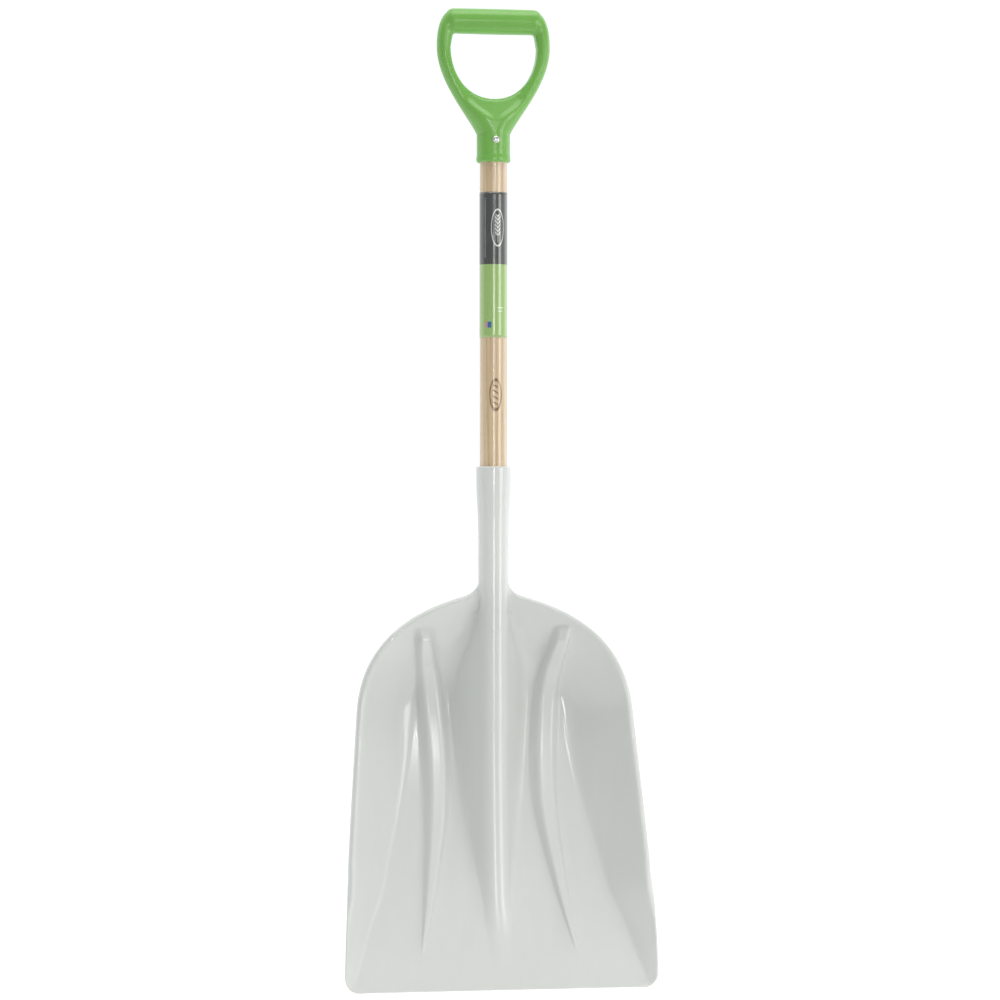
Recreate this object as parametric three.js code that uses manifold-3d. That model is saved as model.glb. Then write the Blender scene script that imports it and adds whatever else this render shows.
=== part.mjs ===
// Grain scoop shovel: a moulded poly scoop on a short ash shaft with a moulded D-grip.
// Millimetres, +Z up along the shaft, -Y is the open front of the scoop, X runs across it.
// Heights (z) are measured from the scoop's front lip. Depths (y) are measured from the shaft's
// axis while the pieces are made, and the last group moves the origin to the middle of the lip.
import * as THREE from "three";
import { mergeVertices } from "three/addons/utils/BufferGeometryUtils.js";
import Module from "manifold-3d";

// ---- Driving dimensions ----

// Scoop outline, seen from the front (one half)
const LIP_HALF_WIDTH = 180.5;
const LIP_CORNER_RADIUS = 16;
const SHOULDER_START = [161, 310];
const SHOULDER_PULLS = [[157, 370], [127, 420.5]];
const SHOULDER_END = [34, 446];

// Scoop depths, as [height, depth] down the middle of the floor and along the rim
const FLOOR_LINE = [[0, -63], [60, -38], [140, -8], [220, 16], [300, 31], [345, 33], [400, 17], [440, 0], [480, -18]];
const RIM_LINE = [[0, -65], [50, -63], [100, -57], [200, -39], [320, -19], [410, -10], [480, 4]];
const WALL_WIDTH = [[0, 10], [46, 24], [104, 38], [206, 57], [311, 69], [400, 68], [480, 60]];
const WALL_FILLET = 16;
const SHEET = 3.3;

// Side ribs, as [height, value]
const RIB_TOP = 412;
const RIB_END_DRAFT = 12;
const RIB_CENTRE = [[30, 93], [48, 88], [120, 75], [218, 63.5], [330, 68.5], [410, 82], [480, 91]];
const RIB_HALF_WIDTH = [[30, 2], [48, 3], [120, 9], [218, 15], [330, 15], [410, 11], [480, 11]];
const RIB_HEIGHT = [[40, 0], [60, 2.5], [120, 7], [218, 11], [330, 12], [410, 14], [480, 14]];

// Centre ridge, which carries the socket down the scoop
const RIDGE_CREST = [[0, -56], [30, -46], [60, -39], [110, -31], [170, -24], [230, -19.5], [290, -17.5], [480, -17.5]];
const RIDGE_FLANK_SLOPE = 1.54;
const RIDGE_BLEND = 9;

// Rolled rim
const ROLL_RADIUS = 4.2;
const ROLL_SKIRT = 4.5;
const ROLL_STARTS = 60;
const ROLL_FULL = 150;

// Socket of the scoop, as [height, outer radius], and its tapered bore
const SOCKET_PROFILE = [[380, 17.5], [500, 17.5], [530, 17.8], [553, 18.8], [572, 19.7], [596, 19.9]];
const SOCKET_MOUTH = 595.7;
const SOCKET_RING_START = 478;
const BORE_END = 402;
const BOSS_STARTS = 370;
const BOSS_FULL = 396;

// Ash shaft
const SHAFT_RADIUS = 15.85;
const SHAFT_FOOT_RADIUS = 10.6;
const SHAFT_FOOT = 404;
const SHAFT_TAPER_TOP = 592;
const SHAFT_TOP = 986;
const FIT_GAP = 0.3;

// D-grip
const GRIP_BAR_HEIGHT = 1108;
const GRIP_BAR_RADIUS = 14.5;
const GRIP_BAR_HALF_LENGTH = 57;
const GRIP_HALF_WIDTH = 66;
const GRIP_GAP_HALF_WIDTH = 50;
const GRIP_GAP_FLOOR = 1019;
const GRIP_ARM_DEPTH = 23;
const GRIP_EDGE_ROUNDING = 6;
const GRIP_SOCKET_RADIUS = 19.6;
const GRIP_SOCKET_FOOT = 945.6;
const GRIP_SOCKET_TOP = 1001;
const GRIP_BORE_TOP = 989;

// Fasteners
const RIVET_HEIGHT = 971;
const RIVET_RADIUS = 2.4;
const RIVET_HEAD_RADIUS = 4.2;
const RIVET_HEAD_THICKNESS = 1.9;
const RIVET_TAIL_RADIUS = 3.6;
const BURR_RADIUS = 5;
const BURR_THICKNESS = 1;
const SCREW_HEIGHT = 541;
const SCREW_RADIUS = 2.1;
const SCREW_HEAD_RADIUS = 4.6;
const SCREW_HEAD_THICKNESS = 2.6;
const SCREW_LENGTH = 24;
const HOLE_CLEARANCE = 0.3;

// Printed wrap label
const LABEL_FOOT = 744;
const LABEL_TOP = 911;
const LABEL_INNER_RADIUS = 16.15;
const LABEL_THICKNESS = 0.4;

// Mesh fineness
const RAYS_SIDE = 15;
const RAYS_CORNER = 3;
const RAYS_SHOULDER = 15;
const RAYS_FAIRING = 4;
const ROLL_STATIONS = 2;
const ROUND_SEGMENTS = 32;

const LIP_MIDDLE_DEPTH = FLOOR_LINE[0][1] + SHEET / 2;

// ---- Small maths ----

const clamp = (value, low, high) => Math.min(Math.max(value, low), high);

const mix = (a, b, share) => a + (b - a) * share;

function smoothstep(low, high, value) {
  const t = clamp((value - low) / (high - low), 0, 1);
  return t * t * (3 - 2 * t);
}

// The lower of a and b, rounded off where they meet.
function softMin(a, b, radius) {
  const share = clamp(0.5 + (0.5 * (b - a)) / radius, 0, 1);
  return mix(b, a, share) - radius * share * (1 - share);
}

// A smooth curve through [x, value] points: cubic pieces whose slopes follow the neighbours.
function smoothCurve(points) {
  const slope = (i) => {
    const before = points[Math.max(i - 1, 0)];
    const after = points[Math.min(i + 1, points.length - 1)];
    return (after[1] - before[1]) / (after[0] - before[0]);
  };
  return (x) => {
    let i = 0;
    while (i < points.length - 2 && x > points[i + 1][0]) i += 1;
    const [x0, y0] = points[i];
    const [x1, y1] = points[i + 1];
    const width = x1 - x0;
    const t = clamp((x - x0) / width, 0, 1);
    const t2 = t * t;
    const t3 = t2 * t;
    return (
      (2 * t3 - 3 * t2 + 1) * y0 +
      (t3 - 2 * t2 + t) * width * slope(i) +
      (3 * t2 - 2 * t3) * y1 +
      (t3 - t2) * width * slope(i + 1)
    );
  };
}

// ---- Scoop ----

const floorDepth = smoothCurve(FLOOR_LINE);
const rimDepth = smoothCurve(RIM_LINE);
const wallWidth = smoothCurve(WALL_WIDTH);
const ribCentre = smoothCurve(RIB_CENTRE);
const ribHalfWidth = smoothCurve(RIB_HALF_WIDTH);
const ribHeight = smoothCurve(RIB_HEIGHT);
const ridgeCrest = smoothCurve(RIDGE_CREST);
const socketRadius = smoothCurve(SOCKET_PROFILE);

// How far the centre ridge falls back at a distance x from the middle: round, then a straight flank.
function ridgeFall(x, z) {
  const radius = SOCKET_PROFILE[0][1];
  const roundTo = THREE.MathUtils.degToRad(mix(60, 78, smoothstep(370, 450, z)));
  const edge = radius * Math.sin(roundTo);
  const distance = Math.abs(x);
  if (distance < edge) return radius - Math.sqrt(radius * radius - distance * distance);
  const slope = Math.max(RIDGE_FLANK_SLOPE, Math.tan(roundTo) * 0.9);
  return radius * (1 - Math.cos(roundTo)) + (distance - edge) * slope;
}

// How far a side rib stands proud of the floor. Its top end is cut off along a ray.
function ribRise(ray, x, z) {
  const across = Math.abs(x - ribCentre(z)) / ribHalfWidth(z);
  const end = 1 - smoothstep(RIB_TOP - RIB_END_DRAFT, RIB_TOP, ray.ribCrossing.y);
  return ribHeight(z) * end * (1 - smoothstep(0.35, 1, across));
}

// How high up the side wall a point is, 0 at the crease to 1 at the rim.
function wallShare(distanceFromCrease, width) {
  if (distanceFromCrease <= 0) return 0;
  const climb = (d) => (d < WALL_FILLET ? (d * d) / (2 * WALL_FILLET) : d - WALL_FILLET / 2);
  const bow = (d) => climb(d) + (0.15 * d * d) / width;
  return bow(distanceFromCrease) / bow(width);
}

// Front surface of the scoop at a point of one ray, which runs from the middle out to the rim.
function frontDepth(ray, x, z, share) {
  const width = Math.min(wallWidth(ray.rim.y), 0.92 * ray.length);
  const fromCrease = width - (1 - share) * ray.length;
  const wall = wallShare(fromCrease, width) * (rimDepth(ray.rim.y) - floorDepth(ray.rim.y));
  const sheet = floorDepth(z) + wall - ribRise(ray, x, z);
  return softMin(sheet, ridgeCrest(z) + ridgeFall(x, z), RIDGE_BLEND);
}

// Back surface: the sheet follows the front, and the socket's round back stands out of it higher up.
function backDepth(front, steepness, x, z) {
  const sheet = front + SHEET * clamp(steepness, 1, 2.2);
  const boss = SOCKET_PROFILE[0][1] - ridgeFall(x, z);
  const joined = -softMin(-sheet, -boss, RIDGE_BLEND);
  return mix(sheet, joined, smoothstep(BOSS_STARTS, BOSS_FULL, z));
}

// The half outline as points with their outward directions: lip corner, side, then shoulder.
function outlinePoints() {
  const points = [];
  const cornerX = LIP_HALF_WIDTH - LIP_CORNER_RADIUS;
  for (let i = 0; i < RAYS_CORNER; i += 1) {
    const angle = (i / RAYS_CORNER) * (Math.PI / 2);
    points.push(new THREE.Vector2(
      cornerX + LIP_CORNER_RADIUS * Math.sin(angle),
      LIP_CORNER_RADIUS * (1 - Math.cos(angle)),
    ));
  }
  const sideFoot = new THREE.Vector2(LIP_HALF_WIDTH, LIP_CORNER_RADIUS);
  const sideTop = new THREE.Vector2(...SHOULDER_START);
  for (let i = 0; i < RAYS_SIDE; i += 1) {
    const share = i / RAYS_SIDE;
    const point = sideFoot.clone().lerp(sideTop, share);
    point.x += 2.4 * Math.sin(Math.PI * Math.min(share * 1.6, 1));
    points.push(point);
  }
  const shoulder = new THREE.CubicBezierCurve(
    sideTop,
    new THREE.Vector2(...SHOULDER_PULLS[0]),
    new THREE.Vector2(...SHOULDER_PULLS[1]),
    new THREE.Vector2(...SHOULDER_END),
  );
  return points.concat(shoulder.getSpacedPoints(RAYS_SHOULDER));
}

// Rays fan out from the middle line to the rim: level on the sides, then tipped up over the shoulder.
function makeRays() {
  const outline = outlinePoints();
  const last = outline.length - 1;
  const fanStart = last - RAYS_SHOULDER;
  return outline.map((edge, i) => {
    const before = outline[Math.max(i - 1, 0)];
    const after = outline[Math.min(i + 1, last)];
    const along = after.clone().sub(before).normalize();
    const outward = edge.y < ROLL_STARTS ? new THREE.Vector2(1, 0) : new THREE.Vector2(along.y, -along.x);
    const roll = mix(0.08, 1, smoothstep(ROLL_STARTS, ROLL_FULL, edge.y));
    const lean = Math.atan2(0.9 * (floorDepth(edge.y) - rimDepth(edge.y)), wallWidth(edge.y));
    const wallAngle = clamp(lean, 0, 1) * smoothstep(0, 30, edge.y);
    const inset = Math.max(...rollSection(wallAngle, roll).map(([reach]) => reach));
    const rim = edge.clone().addScaledVector(outward, -inset);
    const fan = clamp((i - fanStart) / (last - fanStart), 0, 1);
    const middle = new THREE.Vector2(0, i < fanStart ? rim.y : mix(outline[fanStart].y, BORE_END + 1, fan));
    const ribCrossing = crossingOf(ribCentre, middle, rim);
    return { rim, middle, outward, roll, wallAngle, ribCrossing, length: rim.distanceTo(middle) };
  });
}

// Where a line given as x over height crosses the ray from middle to rim.
function crossingOf(line, middle, rim) {
  const crossing = middle.clone().lerp(rim, 0.5);
  for (let step = 0; step < 5; step += 1) {
    crossing.copy(middle).lerp(rim, clamp(line(crossing.y) / rim.x, 0, 1));
  }
  return crossing;
}

// Shares of a ray at which its grid points lie, so that grid lines follow the ridge, rib and wall.
function stationsOf(ray) {
  const reach = ray.rim.x;
  const z = ray.ribCrossing.y;
  const ridgeHeight = Math.max(floorDepth(z) - ridgeCrest(z), 4);
  const ridgeFoot = 16 + Math.max(ridgeHeight - 8, 0) / RIDGE_FLANK_SLOPE;
  const crease = reach * (1 - Math.min(wallWidth(ray.rim.y) / ray.length, 0.92));
  const ribInside = Math.min(ray.ribCrossing.x - ribHalfWidth(z), 0.62 * reach);
  const ribOutside = Math.min(ray.ribCrossing.x + ribHalfWidth(z), 0.8 * reach);
  const marks = [
    [0, 0],
    [Math.min(15.5, 0.25 * reach), 4],
    [Math.min(ridgeFoot, 0.45 * reach, ribInside - 0.04 * reach), 3],
    [ribInside, 1],
    [ribOutside, 5],
    [clamp(crease, ribOutside + 0.05 * reach, 0.93 * reach), 2],
    [reach, 4],
  ];
  const shares = [0];
  for (let m = 1; m < marks.length; m += 1) {
    const [x, count] = marks[m];
    for (let n = 1; n <= count; n += 1) shares.push(mix(marks[m - 1][0], x, n / count) / reach);
  }
  return shares;
}

// Front points of every ray, from the middle line out to the rim.
function frontGrid(rays) {
  return rays.map((ray) => {
    return stationsOf(ray).map((share) => {
      const x = ray.rim.x * share;
      const z = mix(ray.middle.y, ray.rim.y, share);
      return new THREE.Vector3(x, frontDepth(ray, x, z, share), z);
    });
  });
}

// How much longer the sheet's thickness is along Y than square to its surface, at one grid point.
function steepnessAt(grid, i, j) {
  const along = grid[Math.min(i + 1, grid.length - 1)][j].clone().sub(grid[Math.max(i - 1, 0)][j]);
  const row = grid[i];
  const across = row[Math.min(j + 1, row.length - 1)].clone().sub(row[Math.max(j - 1, 0)]);
  const normal = along.cross(across).normalize();
  return 1 / Math.max(Math.abs(normal.y), 0.2);
}

// Section of the rolled rim as [outward, forward] steps from the sheet's front edge: an arc that turns
// from the wall's slope to point backwards, a short skirt, and the same again along the inside.
function rollSection(wallAngle, roll) {
  const end = mix(wallAngle, -Math.PI / 2, roll);
  const onArc = (radius, angle) => [
    ROLL_RADIUS * Math.sin(wallAngle) - radius * Math.sin(angle),
    -ROLL_RADIUS * Math.cos(wallAngle) + radius * Math.cos(angle),
  ];
  const skirtEnd = ([outward, forward]) => [
    outward + Math.cos(end) * ROLL_SKIRT * roll,
    forward + Math.sin(end) * ROLL_SKIRT * roll,
  ];
  const inner = ROLL_RADIUS - SHEET * 0.85;
  const angles = [];
  for (let m = 1; m <= ROLL_STATIONS; m += 1) angles.push(mix(wallAngle, end, m / ROLL_STATIONS));
  return [
    ...angles.map((angle) => onArc(ROLL_RADIUS, angle)),
    skirtEnd(onArc(ROLL_RADIUS, end)),
    skirtEnd(onArc(inner, end)),
    ...angles.reverse().map((angle) => onArc(inner, angle)),
  ];
}

function rollPoints(ray, edge) {
  return rollSection(ray.wallAngle, ray.roll).map(([outward, forward]) => new THREE.Vector3(
    edge.x + ray.outward.x * outward,
    edge.y - forward,
    edge.z + ray.outward.y * outward,
  ));
}

// Half rings go from the front middle out round the rim and back to the rear middle.
function scoopHalfRings() {
  const rays = makeRays();
  const grid = frontGrid(rays);
  return rays.map((ray, i) => {
    const front = grid[i];
    const back = front.map((point, j) => new THREE.Vector3(
      point.x,
      backDepth(point.y, steepnessAt(grid, i, j), point.x, point.z),
      point.z,
    ));
    const rolled = rollPoints(ray, front[front.length - 1]);
    return [...front, ...rolled, ...back.reverse()];
  });
}

// Where the stations of a half ring sit round the socket, from 0 at the front to 1 at the back.
function stationShares(halfRing) {
  const lengths = [0];
  for (let k = 1; k < halfRing.length; k += 1) {
    lengths.push(lengths[k - 1] + halfRing[k].distanceTo(halfRing[k - 1]));
  }
  return lengths.map((length) => length / lengths[lengths.length - 1]);
}

// A point on the socket's outside or in its bore, at a share of the half turn from front to back.
function socketPoint(share, radius, z) {
  const angle = share * Math.PI;
  return new THREE.Vector3(radius * Math.sin(angle), -radius * Math.cos(angle), z);
}

// Keeps a point from cutting into the round of the socket.
function outsideSocket(point) {
  const radius = socketRadius(point.z);
  const distance = Math.hypot(point.x, point.y);
  if (point.z > BORE_END - 4 && distance < radius) {
    point.x *= radius / distance;
    point.y *= radius / distance;
  }
  return point;
}

// Half rings that carry the end of the scoop smoothly up onto the socket.
function fairingHalfRings(before, start, shares) {
  const sideRise = 58;
  const end = shares.map((share) => {
    const z = BORE_END + 3 + sideRise * Math.sin(share * Math.PI);
    return socketPoint(share, socketRadius(z), z);
  });
  const rings = [];
  for (let m = 1; m <= RAYS_FAIRING; m += 1) {
    const t = m / RAYS_FAIRING;
    rings.push(start.map((point, k) => {
      const reach = point.distanceTo(end[k]);
      const leave = point.clone().sub(before[k]).normalize().multiplyScalar(reach);
      const arrive = new THREE.Vector3(0, 0, reach);
      const place = point.clone().multiplyScalar(2 * t ** 3 - 3 * t ** 2 + 1)
        .addScaledVector(leave, t ** 3 - 2 * t ** 2 + t)
        .addScaledVector(end[k], 3 * t ** 2 - 2 * t ** 3)
        .addScaledVector(arrive, t ** 3 - t ** 2);
      return outsideSocket(place);
    }));
  }
  return rings;
}

// Radius of the tapered end of the shaft at a height.
function shaftTaper(z) {
  return mix(SHAFT_FOOT_RADIUS, SHAFT_RADIUS, (z - SHAFT_FOOT) / (SHAFT_TAPER_TOP - SHAFT_FOOT));
}

// Level half rings up the outside of the socket, over its mouth and down its bore.
function socketHalfRings(shares) {
  const ring = (radius, z) => shares.map((share) => socketPoint(share, radius, z));
  const outside = [SOCKET_RING_START, 505, 530, 545, 560, 575, SOCKET_MOUTH - 2.5];
  const boreAt = (z) => shaftTaper(z) + FIT_GAP + 0.1;
  return [
    ...outside.map((z) => ring(socketRadius(z), z)),
    ring(socketRadius(SOCKET_MOUTH) - 1.2, SOCKET_MOUTH),
    ring(boreAt(SHAFT_TAPER_TOP) + 0.8, SOCKET_MOUTH),
    ring(boreAt(SHAFT_TAPER_TOP), SHAFT_TAPER_TOP),
    ring(boreAt(500), 500),
    ring(boreAt(BORE_END), BORE_END),
  ];
}

// A closed skin over half rings: each is mirrored to a whole ring, and the first and last are capped.
function skin(halfRings) {
  const half = halfRings[0].length;
  const around = 2 * (half - 1);
  const positions = [];
  const index = [];
  for (const ring of halfRings) {
    for (const point of ring) positions.push(point.x, point.y, point.z);
    for (const point of ring.slice(1, -1).reverse()) positions.push(-point.x, point.y, point.z);
  }
  const quad = (a, b, c, d) => index.push(a, b, c, a, c, d);
  for (let i = 0; i + 1 < halfRings.length; i += 1) {
    for (let k = 0; k < around; k += 1) {
      const next = (k + 1) % around;
      quad(i * around + k, i * around + next, (i + 1) * around + next, (i + 1) * around + k);
    }
  }
  const cap = (first, flip) => {
    for (let m = 0; m < half / 2 - 1; m += 1) {
      const right = [m, m + 1, half - 2 - m, half - 1 - m];
      const left = right.map((n) => (around - n) % around).reverse();
      for (const corners of [right, left]) {
        if (flip) corners.reverse();
        quad(...corners.map((n) => first + n));
      }
    }
  };
  cap(0, true);
  cap((halfRings.length - 1) * around, false);
  const geometry = new THREE.BufferGeometry();
  geometry.setAttribute("position", new THREE.Float32BufferAttribute(positions, 3));
  geometry.setIndex(index);
  return geometry;
}

function scoopGeometry() {
  const blade = scoopHalfRings();
  const last = blade[blade.length - 1];
  const shares = stationShares(last);
  const fairing = fairingHalfRings(blade[blade.length - 2], last, shares);
  return skin([...blade, ...fairing, ...socketHalfRings(shares)]);
}

// ---- Solids ----

const wasm = await Module();
wasm.setup();

function toSolid(geometry) {
  const bare = geometry.clone();
  bare.deleteAttribute("normal");
  bare.deleteAttribute("uv");
  const merged = mergeVertices(bare, 1e-4);
  return new wasm.Manifold(new wasm.Mesh({
    numProp: 3,
    vertProperties: merged.attributes.position.array,
    triVerts: new Uint32Array(merged.index.array),
  }));
}

function toGeometry(solid) {
  const mesh = solid.getMesh();
  const geometry = new THREE.BufferGeometry();
  geometry.setAttribute("position", new THREE.BufferAttribute(new Float32Array(mesh.vertProperties), 3));
  geometry.setIndex(new THREE.BufferAttribute(new Uint32Array(mesh.triVerts), 1));
  return geometry;
}

const profile = (points) => points.map(([radius, along]) => new THREE.Vector2(radius, along));

// Turned shapes: the profile's second number runs along the axis.
function turnedAlongY(points, segments = ROUND_SEGMENTS) {
  return new THREE.LatheGeometry(profile(points), segments);
}

function turnedAlongZ(points, segments = ROUND_SEGMENTS) {
  return turnedAlongY(points.map(([radius, along]) => [radius, -along]).reverse(), segments).rotateX(-Math.PI / 2);
}

function rod(radius, from, to) {
  return [[0, from], [radius, from], [radius, to], [0, to]];
}

// Profile points of a low dome that closes on the axis.
function dome(radius, base, height, steps = 4) {
  const points = [];
  for (let i = 1; i <= steps; i += 1) {
    const angle = (i / steps) * (Math.PI / 2);
    points.push([i === steps ? 0 : radius * Math.cos(angle), base + height * Math.sin(angle)]);
  }
  return points;
}

// ---- Shaft ----

function shaftGeometry() {
  const foot = SHAFT_FOOT;
  const shaft = toSolid(turnedAlongZ([
    [0, foot],
    [SHAFT_FOOT_RADIUS - 1.5, foot],
    [shaftTaper(foot + 2), foot + 2],
    [SHAFT_RADIUS, SHAFT_TAPER_TOP],
    [SHAFT_RADIUS, SHAFT_TOP - 2],
    [SHAFT_RADIUS - 2, SHAFT_TOP],
    [0, SHAFT_TOP],
  ]));
  return toGeometry(shaft.subtract(rivetHole()).subtract(screwHole()));
}

// ---- D-grip ----

// Outline of the D, seen from the front. The gap for the fingers is cut through it.
function gripOutline() {
  const top = GRIP_BAR_HEIGHT + GRIP_BAR_RADIUS - 1;
  const neck = GRIP_SOCKET_RADIUS - 1;
  const shape = new THREE.Shape();
  shape.moveTo(-neck, 968);
  shape.lineTo(neck, 968);
  shape.lineTo(neck, 978);
  shape.bezierCurveTo(30, 1000, GRIP_HALF_WIDTH + 1, 1040, GRIP_HALF_WIDTH, 1080);
  shape.bezierCurveTo(GRIP_HALF_WIDTH, 1106, 58, top, 46, top);
  shape.lineTo(-46, top);
  shape.bezierCurveTo(-58, top, -GRIP_HALF_WIDTH, 1106, -GRIP_HALF_WIDTH, 1080);
  shape.bezierCurveTo(-GRIP_HALF_WIDTH - 1, 1040, -30, 1000, -neck, 978);
  const gapTop = GRIP_BAR_HEIGHT - GRIP_BAR_RADIUS + 4;
  const side = GRIP_GAP_HALF_WIDTH;
  const gap = new THREE.Path();
  gap.moveTo(0, GRIP_GAP_FLOOR);
  gap.bezierCurveTo(30, GRIP_GAP_FLOOR, side + 0.5, 1045, side + 0.5, 1078);
  gap.lineTo(side - 3, gapTop);
  gap.lineTo(-side + 3, gapTop);
  gap.lineTo(-side - 0.5, 1078);
  gap.bezierCurveTo(-side - 0.5, 1045, -30, GRIP_GAP_FLOOR, 0, GRIP_GAP_FLOOR);
  shape.holes.push(gap);
  return shape;
}

function gripFrameGeometry() {
  const straight = GRIP_ARM_DEPTH - 2 * GRIP_EDGE_ROUNDING;
  const frame = new THREE.ExtrudeGeometry(gripOutline(), {
    depth: straight,
    curveSegments: 10,
    bevelThickness: GRIP_EDGE_ROUNDING,
    bevelSize: GRIP_EDGE_ROUNDING,
    bevelOffset: -GRIP_EDGE_ROUNDING,
    bevelSegments: 3,
  });
  return frame.translate(0, 0, -straight / 2).rotateX(Math.PI / 2);
}

function gripBarGeometry() {
  const straight = GRIP_BAR_HALF_LENGTH - 8;
  const end = dome(GRIP_BAR_RADIUS, straight, GRIP_BAR_HALF_LENGTH + 4 - straight, 5);
  const points = [
    ...end.map(([radius, along]) => [radius, -along]).reverse(),
    [GRIP_BAR_RADIUS, -straight],
    [GRIP_BAR_RADIUS, straight],
    ...end,
  ];
  return turnedAlongY(points).rotateZ(Math.PI / 2).translate(0, 0, GRIP_BAR_HEIGHT);
}

function gripSocketGeometry() {
  const foot = GRIP_SOCKET_FOOT;
  const shoulder = GRIP_SOCKET_TOP - 11;
  return turnedAlongZ([
    [0, foot],
    [GRIP_SOCKET_RADIUS - 1.6, foot],
    [GRIP_SOCKET_RADIUS, foot + 3],
    [GRIP_SOCKET_RADIUS, shoulder],
    ...dome(GRIP_SOCKET_RADIUS, shoulder, GRIP_SOCKET_TOP - shoulder),
  ]);
}

function gripGeometry() {
  const bore = turnedAlongZ(rod(SHAFT_RADIUS + FIT_GAP, GRIP_SOCKET_FOOT - 5, GRIP_BORE_TOP));
  const grip = toSolid(gripFrameGeometry())
    .add(toSolid(gripBarGeometry()))
    .add(toSolid(gripSocketGeometry()));
  return toGeometry(grip.subtract(toSolid(bore)).subtract(rivetHole()));
}

// ---- Fasteners ----

function rivetHole() {
  const reach = GRIP_SOCKET_RADIUS + 6;
  const hole = turnedAlongY(rod(RIVET_RADIUS + HOLE_CLEARANCE, -reach, reach), 16);
  return toSolid(hole.translate(0, 0, RIVET_HEIGHT));
}

function screwHole() {
  const surface = socketRadius(SCREW_HEIGHT);
  const hole = turnedAlongY(rod(SCREW_RADIUS + HOLE_CLEARANCE, surface - SCREW_LENGTH - 0.5, surface + 6), 16);
  return toSolid(hole.translate(0, 0, SCREW_HEIGHT));
}

// Rivet: domed head at the front, shank through the grip and shaft, tail clenched over the burr.
function rivetGeometry() {
  const seat = GRIP_SOCKET_RADIUS + FIT_GAP;
  const tail = seat + BURR_THICKNESS + FIT_GAP;
  const head = dome(RIVET_HEAD_RADIUS, seat + 0.4, RIVET_HEAD_THICKNESS - 0.4);
  return turnedAlongY([
    ...head.map(([radius, along]) => [radius, -along]).reverse(),
    [RIVET_HEAD_RADIUS, -seat - 0.4],
    [RIVET_HEAD_RADIUS, -seat],
    [RIVET_RADIUS, -seat],
    [RIVET_RADIUS, tail],
    [RIVET_TAIL_RADIUS, tail],
    ...dome(RIVET_TAIL_RADIUS, tail + 0.3, 1.2),
  ], 20).translate(0, 0, RIVET_HEIGHT);
}

function burrGeometry() {
  const seat = GRIP_SOCKET_RADIUS + FIT_GAP;
  const hole = RIVET_RADIUS + HOLE_CLEARANCE;
  return turnedAlongY([
    [hole, seat],
    [BURR_RADIUS, seat],
    [BURR_RADIUS, seat + BURR_THICKNESS],
    [hole, seat + BURR_THICKNESS],
    [hole, seat],
  ], 24).translate(0, 0, RIVET_HEIGHT);
}

function screwGeometry() {
  const seat = socketRadius(SCREW_HEIGHT) + FIT_GAP;
  const tip = seat - SCREW_LENGTH;
  return turnedAlongY([
    [0, tip],
    [0.6, tip + 0.4],
    [SCREW_RADIUS, tip + 5],
    [SCREW_RADIUS, seat],
    [SCREW_HEAD_RADIUS, seat],
    [SCREW_HEAD_RADIUS, seat + 0.8],
    ...dome(SCREW_HEAD_RADIUS, seat + 0.8, SCREW_HEAD_THICKNESS - 0.8),
  ], 20).translate(0, 0, SCREW_HEIGHT);
}

// ---- Label ----

function labelGeometry() {
  const outer = LABEL_INNER_RADIUS + LABEL_THICKNESS;
  return turnedAlongZ([
    [LABEL_INNER_RADIUS, LABEL_FOOT],
    [outer, LABEL_FOOT],
    [outer, LABEL_TOP],
    [LABEL_INNER_RADIUS, LABEL_TOP],
    [LABEL_INNER_RADIUS, LABEL_FOOT],
  ]);
}

// ---- Assembly ----

function piece(name, geometry, color, roughness, metalness = 0) {
  const material = new THREE.MeshStandardMaterial({ color, roughness, metalness });
  const mesh = new THREE.Mesh(geometry, material);
  mesh.name = name;
  return mesh;
}

function drilledScoopGeometry() {
  return toGeometry(toSolid(scoopGeometry()).subtract(screwHole()));
}

const shovel = new THREE.Group();
shovel.add(
  piece("scoop_blade", drilledScoopGeometry(), 0xd8dcd7, 0.25),
  piece("handle_shaft", shaftGeometry(), 0xdcc8a2, 0.55),
  piece("d_grip", gripGeometry(), 0x7ab65b, 0.3),
  piece("grip_rivet", rivetGeometry(), 0xc9cdc8, 0.3, 1),
  piece("grip_rivet_burr", burrGeometry(), 0xc0c4c0, 0.35, 1),
  piece("socket_screw", screwGeometry(), 0xbfc3c0, 0.35, 1),
  piece("label_wrap", labelGeometry(), 0x7f9a63, 0.4),
);
shovel.position.y = -LIP_MIDDLE_DEPTH;

const part = new THREE.Group();
part.add(shovel);

export default part;
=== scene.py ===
"""Grain scoop shovel: the visual model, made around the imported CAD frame.

Shapes are worked out in millimetres about the shaft's axis (x across, y back, z up from the lip),
with the same driving dimensions as the CAD part, and placed in the row frame in metres.
"""
import math

import bpy
import numpy as np
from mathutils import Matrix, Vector


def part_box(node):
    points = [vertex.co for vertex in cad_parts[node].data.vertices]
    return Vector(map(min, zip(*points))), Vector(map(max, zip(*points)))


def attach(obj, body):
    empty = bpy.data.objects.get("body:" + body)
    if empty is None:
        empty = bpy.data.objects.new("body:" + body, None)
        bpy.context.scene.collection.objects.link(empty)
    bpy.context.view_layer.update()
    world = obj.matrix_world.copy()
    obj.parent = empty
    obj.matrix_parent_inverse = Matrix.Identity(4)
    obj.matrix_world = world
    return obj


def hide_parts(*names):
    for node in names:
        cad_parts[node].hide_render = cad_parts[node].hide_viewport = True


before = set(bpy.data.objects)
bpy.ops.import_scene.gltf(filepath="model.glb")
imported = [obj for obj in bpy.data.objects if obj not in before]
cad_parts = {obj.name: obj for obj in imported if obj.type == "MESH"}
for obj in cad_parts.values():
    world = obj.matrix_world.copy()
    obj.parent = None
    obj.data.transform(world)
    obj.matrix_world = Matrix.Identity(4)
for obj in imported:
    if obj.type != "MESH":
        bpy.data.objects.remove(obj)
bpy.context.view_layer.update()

MM = 0.001


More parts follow.
